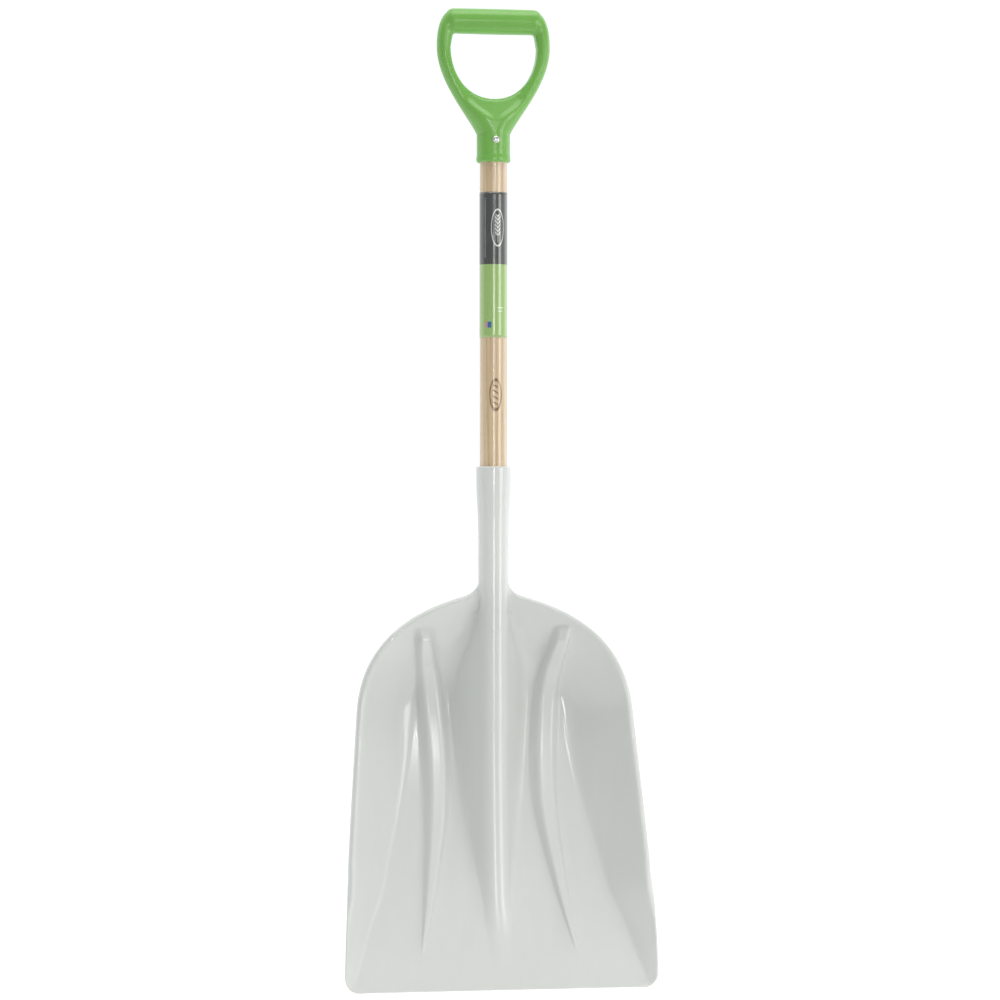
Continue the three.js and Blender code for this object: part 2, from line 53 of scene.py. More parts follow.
def box_mm(node):
    low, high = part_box(node)
    return np.array(low) / MM, np.array(high) / MM


SHAFT_LOW, SHAFT_HIGH = box_mm("handle_shaft")
SCOOP_HIGH = box_mm("scoop_blade")[1]
GRIP_LOW, GRIP_HIGH = box_mm("d_grip")
LABEL_LOW, LABEL_HIGH = box_mm("label_wrap")
RIVET_LOW, RIVET_HIGH = box_mm("grip_rivet")
SCREW_LOW, SCREW_HIGH = box_mm("socket_screw")
AXIS_Y = (SHAFT_LOW[1] + SHAFT_HIGH[1]) / 2
SHAFT_RADIUS = (SHAFT_HIGH[0] - SHAFT_LOW[0]) / 2

# ---- Small maths ----


def mix(a, b, share):
    return a + (b - a) * share


def smoothstep(low, high, value):
    t = np.clip((value - low) / (high - low), 0, 1)
    return t * t * (3 - 2 * t)


def soft_min(a, b, radius):
    """The lower of a and b, rounded off where they meet."""
    share = np.clip(0.5 + 0.5 * (b - a) / radius, 0, 1)
    return mix(b, a, share) - radius * share * (1 - share)


def soft_max(a, b, radius):
    return -soft_min(-a, -b, radius)


def cubic(t, start, leave, end, arrive):
    """A cubic from start to end over t from 0 to 1, with its slopes at both ends."""
    leaving = (2 * t**3 - 3 * t**2 + 1) * start + (t**3 - 2 * t**2 + t) * leave
    arriving = (3 * t**2 - 2 * t**3) * end + (t**3 - t**2) * arrive
    return leaving + arriving


def smooth_curve(points):
    """A smooth function through [x, value] points, cubic between them."""
    xs, ys = np.array(points, float).T
    before = np.maximum(np.arange(len(xs)) - 1, 0)
    after = np.minimum(np.arange(len(xs)) + 1, len(xs) - 1)
    slopes = (ys[after] - ys[before]) / (xs[after] - xs[before])

    def value(x):
        i = np.clip(np.searchsorted(xs, x) - 1, 0, len(xs) - 2)
        width = xs[i + 1] - xs[i]
        t = np.clip((x - xs[i]) / width, 0, 1)
        return cubic(t, ys[i], width * slopes[i], ys[i + 1], width * slopes[i + 1])

    return value


def bezier(points, count):
    """count + 1 evenly spaced points along a cubic Bezier curve."""
    p = np.array(points, float)
    t = np.linspace(0, 1, 400)[:, None]
    dense = (1 - t)**3 * p[0] + 3 * (1 - t)**2 * t * p[1] + 3 * (1 - t) * t**2 * p[2] + t**3 * p[3]
    run = np.concatenate([[0], np.cumsum(np.linalg.norm(np.diff(dense, axis=0), axis=1))])
    wanted = np.linspace(0, run[-1], count + 1)
    return np.stack([np.interp(wanted, run, dense[:, c]) for c in range(2)], axis=1)


# ---- Meshes ----


def add_object(name, data):
    obj = bpy.data.objects.new(name, data)
    bpy.context.scene.collection.objects.link(obj)
    return obj


def add_mesh(name, points, faces):
    """A mesh object from points in metres."""
    mesh = bpy.data.meshes.new(name)
    mesh.from_pydata(points, [], faces)
    return add_object(name, mesh)


def make_object(name, points_mm, faces, node, uv=None):
    """A smooth-shaded mesh object from points about the shaft's axis, in place of a CAD node."""
    points = np.asarray(points_mm, float) + [0, AXIS_Y, 0]
    obj = add_mesh(name, (points * MM).tolist(), faces)
    mesh = obj.data
    mesh.validate()
    mesh.polygons.foreach_set("use_smooth", [True] * len(mesh.polygons))
    if uv is not None:
        layer = mesh.uv_layers.new(name="wrap")
        corners = np.empty(len(mesh.loops), int)
        mesh.loops.foreach_get("vertex_index", corners)
        layer.data.foreach_set("uv", np.asarray(uv)[corners].ravel())
    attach(obj, "root")
    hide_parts(node)
    return obj


def grid_faces(rows, columns, start=0):
    """Quads between closed rings of points, which are stored ring by ring."""
    i, j = np.meshgrid(np.arange(rows - 1), np.arange(columns), indexing="ij")
    after = (j + 1) % columns
    quads = [i * columns + j, i * columns + after, (i + 1) * columns + after, (i + 1) * columns + j]
    return (np.stack(quads, axis=-1).reshape(-1, 4) + start).tolist()


def rungs(count):
    """Faces across a flat ring of points, each between two points and the two opposite them."""
    faces = []
    for n in range(count // 2 - 1 + count % 2):
        face = [n, n + 1, count - 2 - n, count - 1 - n]
        if face[1] == face[2]:
            face.pop(2)
        faces.append(face)
    return faces


def close_rings(faces, rings, around, caps):
    """Closes the first and the last ring of a skin with the faces of caps."""
    for first, step in ((0, -1), ((rings - 1) * around, 1)):
        faces += [[first + n for n in cap[::step]] for cap in caps]


# ---- Scoop ----

LIP_HALF_WIDTH = SCOOP_HIGH[0]
LIP_CORNER_RADIUS = 16
SIDE_BOW = 2.5
SHOULDER_START = (161, 310)
SHOULDER_PULLS = ((157, 370), (127, 420.5))
SHOULDER_END = (34, 446)
WALL_LIMIT = 0.92
WALL_BOW = 0.15
SHEET = 3.3
STEEPEST_SHEET = 2.2
LIP_ROUNDING = 1.0
RIB_TOP = 412
RIB_END_DRAFT = 17
RIB_END_ROUNDING = 0.15
RIB_CROWN = 0.34
RIDGE_TURN = (60, 78)
RIDGE_TURN_CHANGES = (370, 450)
RIDGE_FLANK_SLOPE = 1.54
RIDGE_ROUND_EDGE = 16
RIDGE_ROUND_FALL = 8
RIDGE_BLEND = 9
ROLL_RADIUS = 4.2
ROLL_SHEET = SHEET * 0.85
ROLL_SKIRT = 4.5
ROLL_STARTS = 60
ROLL_FULL = 150
ROLL_AT_LIP = 0.08
SOCKET_FOOT_RADIUS = 17.5
SOCKET_MOUTH = SCOOP_HIGH[2]
SOCKET_RING_START = 478
BORE_END = 402
BOSS_STARTS = 370
BOSS_FULL = 396
SHAFT_FOOT_RADIUS = 10.6
SHAFT_TAPER_TOP = 592
BORE_GAP = 0.4
BORE_END_CHAMFER = 1.5
MOUTH_ROUNDING = 2.2
MOUTH_CHAMFER = 0.6
FAIRING_CLIMB = 58

RAYS_CORNER = 12
RAYS_SIDE = 84
RAYS_SHOULDER = 84
RAYS_FAIRING = 18
SOCKET_LEVELS = 30
MOUTH_TURNS = (15, 35, 55, 75, 90)
ROLL_STATIONS = 7
EDGE_STATIONS = 3
CROSSING_ROUNDS = 12
STATION_COUNTS = (11, 9, 3, 17, 5, 14)

# Depths, widths and heights of the scoop by height up from the lip.
floor_depth = smooth_curve([
    [0, -63], [60, -38], [140, -8], [220, 16], [300, 31], [345, 33], [400, 17], [440, 0], [480, -18],
])
rim_depth = smooth_curve([[0, -65], [50, -63], [100, -57], [200, -39], [320, -19], [410, -10], [480, 4]])
wall_width = smooth_curve([[0, 10], [46, 24], [104, 38], [206, 57], [311, 69], [400, 68], [480, 60]])
wall_fillet = smooth_curve([[0, 5], [200, 6], [270, 15], [312, 30], [355, 18], [410, 8], [480, 8]])
rib_centre = smooth_curve([[30, 93], [48, 88], [120, 75], [218, 63.5], [330, 68.5], [410, 82], [480, 91]])
rib_half_width = smooth_curve([[30, 2], [48, 3], [120, 10], [218, 17], [330, 17], [410, 12], [480, 12]])
rib_height = smooth_curve([[40, 0], [60, 2.5], [120, 7], [218, 11], [330, 12], [410, 14], [480, 14]])
ridge_crest = smooth_curve([
    [0, -56], [30, -46], [60, -39], [110, -31], [170, -24], [230, -19.5], [290, -17.5], [480, -17.5],
])
socket_radius = smooth_curve([
    [380, SOCKET_FOOT_RADIUS], [500, SOCKET_FOOT_RADIUS], [530, 17.8], [553, 18.8], [572, 19.7], [596, 19.9],
])


def ridge_fall(x, z):
    """How far the centre ridge falls back at a distance x from the middle: round, then a flank."""
    radius = SOCKET_FOOT_RADIUS
    round_to = np.radians(mix(*RIDGE_TURN, smoothstep(*RIDGE_TURN_CHANGES, z)))
    edge = radius * np.sin(round_to)
    distance = np.abs(x)
    slope = np.maximum(RIDGE_FLANK_SLOPE, np.tan(round_to) * 0.9)
    rounded = radius - np.sqrt(np.maximum(radius**2 - np.minimum(distance, edge)**2, 0))
    return rounded + np.maximum(distance - edge, 0) * slope


def rib_rise(x, z):
    """How far a side rib stands proud of the floor. Its top end slopes down squarely."""
    across = np.abs(x - rib_centre(z)) / rib_half_width(z)
    end = soft_min(np.clip((RIB_TOP - z) / RIB_END_DRAFT, 0, 2), 1.0, RIB_END_ROUNDING)
    return rib_height(z) * end * (1 - smoothstep(RIB_CROWN, 1.0, across))


def wall_share(from_crease, width, fillet):
    """How high up the side wall a point is, 0 at the crease to 1 at the rim."""

    def bow(d):
        climb = np.where(d < fillet, d**2 / (2 * fillet), d - fillet / 2)
        return climb + WALL_BOW * d**2 / width

    return bow(np.maximum(from_crease, 0)) / bow(width)


def outline_points():
    """The half outline from the lip's corner up the side and over the shoulder."""
    angle = np.linspace(0, math.pi / 2, RAYS_CORNER, endpoint=False)
    corner = np.stack([
        LIP_HALF_WIDTH - LIP_CORNER_RADIUS * (1 - np.sin(angle)),
        LIP_CORNER_RADIUS * (1 - np.cos(angle)),
    ], axis=1)
    share = np.linspace(0, 1, RAYS_SIDE, endpoint=False)[:, None]
    foot = np.array([LIP_HALF_WIDTH, LIP_CORNER_RADIUS])
    side = mix(foot, np.array(SHOULDER_START), share)
    side[:, 0] += SIDE_BOW * np.sin(np.pi * share[:, 0]**0.65)
    shoulder = bezier([SHOULDER_START, *SHOULDER_PULLS, SHOULDER_END], RAYS_SHOULDER)
    return np.concatenate([corner, side, shoulder])


def roll_section(wall_angle, roll):
    """[outward, forward] steps over the rolled rim, from the sheet's front edge to its back edge."""
    end = mix(wall_angle, -math.pi / 2, roll)
    inner = ROLL_RADIUS - ROLL_SHEET

    def on_arc(radius, angle):
        outward = ROLL_RADIUS * math.sin(wall_angle) - radius * math.sin(angle)
        return np.array([outward, -ROLL_RADIUS * math.cos(wall_angle) + radius * math.cos(angle)])

    turns = [mix(wall_angle, end, m / ROLL_STATIONS) for m in range(1, ROLL_STATIONS + 1)]
    along = np.array([math.cos(end), math.sin(end)])
    square = np.array([-math.sin(end), math.cos(end)])
    half = ROLL_SHEET / 2
    middle = on_arc(ROLL_RADIUS - half, end) + along * ROLL_SKIRT * roll
    edge = []
    for m in range(EDGE_STATIONS + 1):
        turn = math.pi * (m / EDGE_STATIONS)
        edge.append(middle + square * half * math.cos(turn) + along * half * 0.7 * math.sin(turn))
    return np.array([
        *[on_arc(ROLL_RADIUS, a) for a in turns],
        *edge,
        *[on_arc(inner, a) for a in reversed(turns)],
    ])


def rib_crossing(middle, rim):
    """Where the rib's centre line crosses the ray from middle to rim."""
    crossing = (middle + rim) / 2
    for _ in range(CROSSING_ROUNDS):
        share = np.clip(rib_centre(crossing[1]) / rim[0], 0, 1)
        crossing = mix(middle, rim, share)
    return crossing


def stations_of(ray):
    """Shares of a ray at which its grid points lie, so that grid lines follow ridge, rib and wall."""
    reach = ray["rim"][0]
    z = ray["crossing"][1]
    ridge_height = floor_depth(z) - ridge_crest(z)
    flank = max(ridge_height - RIDGE_ROUND_FALL, 0) / RIDGE_FLANK_SLOPE
    ridge_foot = RIDGE_ROUND_EDGE + flank
    crease = reach * (1 - ray["wall"] / ray["length"])
    rib_inside = min(ray["crossing"][0] - rib_half_width(z), 0.62 * reach)
    rib_outside = min(ray["crossing"][0] + rib_half_width(z), 0.8 * reach)
    # On the shorter rays the marks close up, and keep their order.
    marks = [
        0,
        min(RIDGE_ROUND_EDGE - 0.5, 0.25 * reach),
        min(ridge_foot, 0.45 * reach, rib_inside - 0.04 * reach),
        rib_inside,
        rib_outside,
        float(np.clip(crease, rib_outside + 0.05 * reach, 0.93 * reach)),
        reach,
    ]
    xs = [0.0]
    for low, high, count in zip(marks, marks[1:], STATION_COUNTS):
        xs.extend(mix(low, high, n / count) for n in range(1, count + 1))
    return np.array(xs) / reach


def make_rays():
    """Rays fan out from the middle line to the rim: level on the sides, tipped up over the shoulder."""
    outline = outline_points()
    last = len(outline) - 1
    fan_start = last - RAYS_SHOULDER
    rays = []
    for i, edge in enumerate(outline):
        along = outline[min(i + 1, last)] - outline[max(i - 1, 0)]
        along /= np.linalg.norm(along)
        square = smoothstep(ROLL_STARTS, ROLL_STARTS + 20, edge[1])
        outward = mix(np.array([1.0, 0.0]), np.array([along[1], -along[0]]), square)
        roll = mix(ROLL_AT_LIP, 1, smoothstep(ROLL_STARTS, ROLL_FULL, edge[1]))
        # The roll carries on from the lean of the side wall, which lies flat at the lip.
        lean = math.atan2(0.9 * (floor_depth(edge[1]) - rim_depth(edge[1])), wall_width(edge[1]))
        wall_angle = float(np.clip(lean, 0, 1) * smoothstep(0, 30, edge[1]))
        section = roll_section(wall_angle, roll)
        rim = edge - outward * section[:, 0].max()
        rise = np.clip((i - fan_start) / (last - fan_start), 0, 1)
        middle = np.array([0, rim[1] if i < fan_start else mix(outline[fan_start][1], BORE_END + 1, rise)])
        ray = {"rim": rim, "middle": middle, "outward": outward, "section": section}
        ray["crossing"] = rib_crossing(middle, rim)
        ray["length"] = float(np.linalg.norm(rim - middle))
        ray["wall"] = min(wall_width(rim[1]), WALL_LIMIT * ray["length"])
        ray["shares"] = stations_of(ray)
        rays.append(ray)
    return rays


def front_grid(rays):
    """Front surface points of every ray, from the middle line out to the rim."""
    rows = []
    for ray in rays:
        share = ray["shares"]
        x = ray["rim"][0] * share
        z = mix(ray["middle"][1], ray["rim"][1], share)
        rim_z = ray["rim"][1]
        from_crease = ray["wall"] - (1 - share) * ray["length"]
        climb = wall_share(from_crease, ray["wall"], wall_fillet(rim_z))
        wall = climb * (rim_depth(rim_z) - floor_depth(rim_z))
        sheet = floor_depth(z) + wall - rib_rise(x, z)
        y = soft_min(sheet, ridge_crest(z) + ridge_fall(x, z), RIDGE_BLEND)
        rows.append(np.stack([x, y, z], axis=1))
    return np.array(rows)


def back_grid(front):
    """Back surface: the sheet follows the front, and the socket's round back stands out higher up."""
    along = np.gradient(front, axis=0)
    across = np.gradient(front, axis=1)
    normal = np.cross(along, across)
    normal /= np.maximum(np.linalg.norm(normal, axis=2, keepdims=True), 1e-9)
    steepness = 1 / np.maximum(np.abs(normal[..., 1]), 0.2)
    x, y, z = np.moveaxis(front, 2, 0)
    sheet = y + SHEET * np.clip(steepness, 1, STEEPEST_SHEET)
    boss = SOCKET_FOOT_RADIUS - ridge_fall(x, z)
    joined = soft_max(sheet, boss, RIDGE_BLEND)
    back = front.copy()
    back[..., 1] = mix(sheet, joined, smoothstep(BOSS_STARTS, BOSS_FULL, z))
    return back


def round_lip(front, back):
    """Rounds the two edges of the lip, where the sheet is cut off level."""
    depth = np.clip(1 - front[..., 2] / LIP_ROUNDING, 0, 1)
    pinch = LIP_ROUNDING * (1 - np.sqrt(1 - depth**2))
    front[..., 1] += pinch
    back[..., 1] -= pinch


def scoop_half_rings():
    rays = make_rays()
    front = front_grid(rays)
    back = back_grid(front)
    round_lip(front, back)
    rings = []
    for ray, ahead, behind in zip(rays, front, back):
        section = ray["section"]
        edge = ahead[-1]
        rolled = np.stack([
            edge[0] + ray["outward"][0] * section[:, 0],
            edge[1] - section[:, 1],
            edge[2] + ray["outward"][1] * section[:, 0],
        ], axis=1)
        rings.append(np.concatenate([ahead, rolled, behind[::-1]]))
    return rings


def socket_ring(shares, radius, z):
    """Points round the socket, at shares of the half turn from front to back."""
    angle = np.pi * shares
    return np.stack([radius * np.sin(angle), -radius * np.cos(angle), z + 0 * angle], axis=1)


def outside_socket(points):
    """Keeps points from cutting into the round of the socket."""
    distance = np.hypot(points[:, 0], points[:, 1])
    radius = socket_radius(points[:, 2])
    push = np.where((points[:, 2] > BORE_END - 4) & (distance < radius), radius / np.maximum(distance, 1), 1)
    return points * np.stack([push, push, np.ones_like(push)], axis=1)


def fairing_half_rings(before, start, shares):
    """Rings that carry the end of the scoop smoothly up onto the socket."""
    z_end = BORE_END + 3 + FAIRING_CLIMB * np.sin(shares * np.pi)
    end = socket_ring(shares, socket_radius(z_end), z_end)
    reach = np.linalg.norm(start - end, axis=1, keepdims=True)
    leave = start - before
    leave = leave / np.maximum(np.linalg.norm(leave, axis=1, keepdims=True), 1e-6) * reach
    arrive = np.array([0, 0, 1.0]) * reach
    steps = np.arange(1, RAYS_FAIRING + 1) / RAYS_FAIRING
    return [outside_socket(cubic(t, start, leave, end, arrive)) for t in steps]


def shaft_taper(z):
    """Radius of the shaft's tapered foot."""
    return mix(SHAFT_FOOT_RADIUS, SHAFT_RADIUS, (z - SHAFT_LOW[2]) / (SHAFT_TAPER_TOP - SHAFT_LOW[2]))


def socket_half_rings(shares):
    """Level rings up the outside of the socket, over its mouth and down its bore."""
    straight = np.linspace(SOCKET_RING_START, SOCKET_MOUTH - MOUTH_ROUNDING, SOCKET_LEVELS)
    levels = [[socket_radius(z), z] for z in straight]
    lip = socket_radius(SOCKET_MOUTH)
    for turn in np.radians(MOUTH_TURNS):
        inward, below = MOUTH_ROUNDING * (1 - math.cos(turn)), MOUTH_ROUNDING * (1 - math.sin(turn))
        levels.append([lip - inward, SOCKET_MOUTH - below])
    bore = shaft_taper(SHAFT_TAPER_TOP) + BORE_GAP
    levels += [[bore + MOUTH_CHAMFER, SOCKET_MOUTH], [bore, SOCKET_MOUTH - MOUTH_CHAMFER]]
    for z in (SHAFT_TAPER_TOP, SOCKET_RING_START + 22, BORE_END + BORE_END_CHAMFER):
        levels.append([shaft_taper(z) + BORE_GAP, z])
    levels.append([shaft_taper(BORE_END) + BORE_GAP - BORE_END_CHAMFER, BORE_END])
    return [socket_ring(shares, radius, z) for radius, z in levels]


def skin(half_rings):
    """Points and faces of a closed skin: half rings are mirrored, and the first and last are capped."""
    half = len(half_rings[0])
    around = 2 * (half - 1)
    rows = [np.concatenate([ring, ring[-2:0:-1] * [-1, 1, 1]]) for ring in half_rings]
    faces = grid_faces(len(rows), around)
    caps = []
    for right in rungs(half):
        caps += [right, [(around - n) % around for n in reversed(right)]]
    close_rings(faces, len(rows), around, caps)
    return np.concatenate(rows), faces


def station_shares(ring):
    """How far along a half ring each of its points lies, from 0 to 1."""
    run = np.concatenate([[0], np.cumsum(np.linalg.norm(np.diff(ring, axis=0), axis=1))])
    return run / run[-1]


def make_scoop():
    blade = scoop_half_rings()
    shares = station_shares(blade[-1])
    fairing = fairing_half_rings(blade[-2], blade[-1], shares)
    points, faces = skin([*blade, *fairing, *socket_half_rings(shares)])
    return make_object("scoop", points, faces, "scoop_blade")


# ---- Turned parts ----


def lathe(profile, segments, axis="z", centre=(0, 0, 0), bend=None):
    """Points and faces turned from [radius, along] points about z or y, open at both ends."""
    profile = np.array(profile, float)
    turn = np.linspace(0, 2 * np.pi, segments, endpoint=False)
    radius, along = profile[:, :1], profile[:, 1:]
    if bend is not None:
        radius, along = bend(radius, along, turn)
    x, y, z = radius * np.cos(turn), radius * np.sin(turn), along + 0 * turn
    points = np.stack([x, y, z] if axis == "z" else [x, z, -y], axis=-1).reshape(-1, 3)
    return points + centre, grid_faces(len(profile), segments)


def close_ends(points, faces, segments):
    """Fans over the first and last ring of a turned skin."""
    rings = len(points) // segments
    for start, step in ((0, -1), ((rings - 1) * segments, 1)):
        points = np.concatenate([points, [points[start:start + segments].mean(axis=0)]])
        middle = len(points) - 1
        faces += [[start + n, start + (n + 1) % segments, middle][::step] for n in range(segments)]
    return points, faces


def turned(name, profile, segments, node, axis="z", centre=(0, 0, 0), bend=None):
    points, faces = lathe(profile, segments, axis, centre, bend)
    points, faces = close_ends(points, faces, segments)
    return make_object(name, points, faces, node)


def round_over(radius, top, size, steps):
    """Profile points over a rounded edge, from the side to the top face."""
    turns = np.linspace(0, math.pi / 2, steps + 1)
    return [[radius - size * (1 - math.cos(t)), top - size * (1 - math.sin(t))] for t in turns]


# ---- Shaft ----

SHAFT_SEGMENTS = 96
RIVET_HEIGHT = (RIVET_LOW[2] + RIVET_HIGH[2]) / 2
SCREW_HEIGHT = (SCREW_LOW[2] + SCREW_HIGH[2]) / 2
RIVET_RADIUS = 2.4
SCREW_RADIUS = 2.1
HOLE_CLEARANCE = 0.25
SHAFT_TOP_ROUNDING = 2
SCREW_BORE_END = -6
CUTTER_REACH = 30
CUTTER_SEGMENTS = 32


def shaft_flutter(radius, along, turn):
    """Slight unevenness left by sanding."""
    wave = 0.03 * np.sin(3 * turn + along * 0.021) + 0.02 * np.sin(2 * turn - along * 0.013)
    return radius + wave * smoothstep(2, 8, radius), along


def drill(obj, name, radius, height, low_y, high_y):
    """Cuts a round hole along Y into an object."""
    profile = [[radius, low_y], [radius, high_y]]
    points, faces = lathe(profile, CUTTER_SEGMENTS, axis="y", centre=(0, 0, height))
    points, faces = close_ends(points, faces, CUTTER_SEGMENTS)
    cutter = add_mesh(name, ((points + [0, AXIS_Y, 0]) * MM).tolist(), faces)
    cut = obj.modifiers.new(name, "BOOLEAN")
    cut.operation = "DIFFERENCE"
    cut.solver = "EXACT"
    cut.object = cutter
    depsgraph = bpy.context.evaluated_depsgraph_get()
    drilled = bpy.data.meshes.new_from_object(obj.evaluated_get(depsgraph))
    obj.modifiers.clear()
    obj.data = drilled
    bpy.data.objects.remove(cutter)


def make_shaft():
    foot, top = SHAFT_LOW[2], SHAFT_HIGH[2]
    profile = [[SHAFT_FOOT_RADIUS - 4, foot], [SHAFT_FOOT_RADIUS - 1, foot]]
    profile += [[shaft_taper(z), z] for z in np.linspace(foot + 1, SHAFT_TAPER_TOP, 24)]
    profile += [[SHAFT_RADIUS, z] for z in np.linspace(SHAFT_TAPER_TOP + 4, top - 3, 60)]
    profile += round_over(SHAFT_RADIUS, top, SHAFT_TOP_ROUNDING, 4)
    profile.append([SHAFT_RADIUS - 6, top])
    shaft = turned("shaft", profile, SHAFT_SEGMENTS, "handle_shaft", bend=shaft_flutter)
    drill(shaft, "rivet_bore", RIVET_RADIUS + HOLE_CLEARANCE, RIVET_HEIGHT, -CUTTER_REACH, CUTTER_REACH)
    drill(shaft, "screw_bore", SCREW_RADIUS + HOLE_CLEARANCE, SCREW_HEIGHT, SCREW_BORE_END, CUTTER_REACH)
    return shaft


# ---- D-grip ----

GRIP_BAR_HEIGHT = 1108
GRIP_BAR_RADIUS = 14.5
GRIP_BAR_HALF_LENGTH = 52
GRIP_BAR_TAPER = 0.03
GRIP_BAR_END_ROUNDING = 6
GRIP_BAR_BLEND = 4
GRIP_HALF_WIDTH = GRIP_HIGH[0]
GRIP_GAP_HALF_WIDTH = 50
GRIP_GAP_FLOOR = 1019
GRIP_ARM_HALF_DEPTH = 11.5
GRIP_WEB_HALF_DEPTH = 5.5
GRIP_OUTER_ROUNDING = 9.5
GRIP_INNER_SLOPE = 0.6
GRIP_SOCKET_RADIUS = 19.25
GRIP_SOCKET_FOOT = GRIP_LOW[2]
GRIP_SOCKET_TOP = 993
GRIP_NECK_TOP = 1020
GRIP_RECESS_SLOPE = 2.5
GRIP_RECESS_BLEND = 4
GRIP_RIDGE_BLEND = 5
GRIP_WEB_BLEND = 2
GRIP_GAP_ROUNDING = 4.5
GRIP_FOOT_ROUNDING = 3
GRIP_BORE_ROUNDING = 0.8
GRIP_HOLE_ROUNDING = 0.4
GRIP_BORE_TOP = 989
GRIP_BORE_GAP = 0.35
GRIP_FOOT_BEAD = 0.5
GRIP_MARGIN = 2.3
GRIP_CELL = 1.05
GRIP_NORMAL_STEP = 0.6
OUTLINE_CELL = 0.5
OUTLINE_MARGIN = 6
SETTLE_ROUNDS = 4
SETTLE_STEP = 0.05


def mirrored(path):
    """Closes a right half path, running from the middle to the middle, with its mirror image."""
    return np.concatenate([path, path[-2:0:-1] * [-1, 1]])


def grip_outline():
    top = GRIP_BAR_HEIGHT + GRIP_BAR_RADIUS - 1
    neck = GRIP_SOCKET_RADIUS
    side = GRIP_HALF_WIDTH
    below = GRIP_SOCKET_FOOT - 25
    return mirrored(np.concatenate([
        [[0, below], [neck, below]],
        bezier([(neck, 978), (30, 1000), (side + 1, 1040), (side, 1080)], 60),
        bezier([(side, 1080), (side, 1106), (58, top), (46, top)], 30)[1:],
        [[0, top]],
    ]))


def grip_gap_outline():
    top = GRIP_BAR_HEIGHT - GRIP_BAR_RADIUS + 4
    side = GRIP_GAP_HALF_WIDTH + 0.5
    return mirrored(np.concatenate([
        bezier([(0, GRIP_GAP_FLOOR), (30, GRIP_GAP_FLOOR), (side, 1045), (side, 1078)], 50),
        [[side - 3.5, top], [0, top]],
    ]))


def outline_distance(outline, xs, zs):
    """Signed distance to a closed outline on a grid of points, negative inside."""
    px, pz = np.meshgrid(xs, zs, indexing="ij")
    nearest = np.full(px.shape, np.inf)
    crossings = np.zeros(px.shape, int)
    for (x1, z1), (x2, z2) in zip(outline, np.roll(outline, -1, axis=0)):
        ex, ez = x2 - x1, z2 - z1
        along = np.clip(((px - x1) * ex + (pz - z1) * ez) / (ex * ex + ez * ez + 1e-12), 0, 1)
        nearest = np.minimum(nearest, np.hypot(px - x1 - along * ex, pz - z1 - along * ez))
        straddles = (z1 > pz) != (z2 > pz)
        crossings += straddles & (px < x1 + (pz - z1) * ex / (ez if ez else 1))
    return np.where(crossings % 2 == 1, -nearest, nearest)


def grid_lookup(values, xs, zs):
    """A function that reads a grid of values with straight blends between its points."""

    def read(x, z):
        u = np.clip((x - xs[0]) / (xs[1] - xs[0]), 0, len(xs) - 1.001)
        v = np.clip((z - zs[0]) / (zs[1] - zs[0]), 0, len(zs) - 1.001)
        i, j = u.astype(int), v.astype(int)
        a, b = u - i, v - j
        low = mix(values[i, j], values[i + 1, j], a)
        high = mix(values[i, j + 1], values[i + 1, j + 1], a)
        return mix(low, high, b)

    return read


def grip_field():
    """The grip as one field over space, negative inside the material."""
    side = GRIP_HALF_WIDTH + OUTLINE_MARGIN
    xs = np.arange(-side, side, OUTLINE_CELL)
    zs = np.arange(GRIP_SOCKET_FOOT - OUTLINE_MARGIN, GRIP_HIGH[2] + OUTLINE_MARGIN, OUTLINE_CELL)
    outer = grid_lookup(outline_distance(grip_outline(), xs, zs), xs, zs)
    gap = grid_lookup(outline_distance(grip_gap_outline(), xs, zs), xs, zs)

    def field(p):
        x, y, z = p[:, 0], p[:, 1], p[:, 2]
        inside = -outer(x, z)
        neck = smoothstep(GRIP_NECK_TOP, GRIP_SOCKET_TOP, z)
        rounding = mix(GRIP_OUTER_ROUNDING, GRIP_SOCKET_RADIUS, neck)
        ridge = mix(GRIP_ARM_HALF_DEPTH, GRIP_SOCKET_RADIUS, neck)
        recess = GRIP_SOCKET_RADIUS - (z - GRIP_SOCKET_TOP) / GRIP_RECESS_SLOPE
        web = np.minimum(soft_max(GRIP_WEB_HALF_DEPTH, recess, GRIP_RECESS_BLEND), GRIP_SOCKET_RADIUS)
        past = soft_max(inside - rounding, 0, GRIP_RIDGE_BLEND)
        depth = np.minimum(soft_max(ridge - GRIP_INNER_SLOPE * past, web, GRIP_WEB_BLEND), ridge)
        edge = np.maximum(rounding - inside, 0) / rounding
        frame_part = (np.hypot(edge, y / depth) - 1) * rounding
        frame_part = soft_max(frame_part, -gap(x, z), GRIP_GAP_ROUNDING)
        barrel = GRIP_BAR_RADIUS * (1 - GRIP_BAR_TAPER * (x / GRIP_BAR_HALF_LENGTH)**2)
        bar = np.hypot(y, z - GRIP_BAR_HEIGHT) - barrel
        bar = soft_max(bar, np.abs(x) - GRIP_BAR_HALF_LENGTH, GRIP_BAR_END_ROUNDING)
        bead = GRIP_FOOT_BEAD * smoothstep(GRIP_SOCKET_FOOT + 9, GRIP_SOCKET_FOOT + 5, z)
        whole = soft_min(frame_part, bar, GRIP_BAR_BLEND) - bead
        whole = soft_max(whole, GRIP_SOCKET_FOOT - z, GRIP_FOOT_ROUNDING)
        bore = np.maximum(np.hypot(x, y) - SHAFT_RADIUS - GRIP_BORE_GAP, z - GRIP_BORE_TOP)
        whole = soft_max(whole, -bore, GRIP_BORE_ROUNDING)
        rivet = np.hypot(x, z - RIVET_HEIGHT) - RIVET_RADIUS - HOLE_CLEARANCE
        rivet = np.maximum(rivet, np.abs(y) - GRIP_SOCKET_RADIUS - 3)
        return soft_max(whole, -rivet, GRIP_HOLE_ROUNDING)

    return field


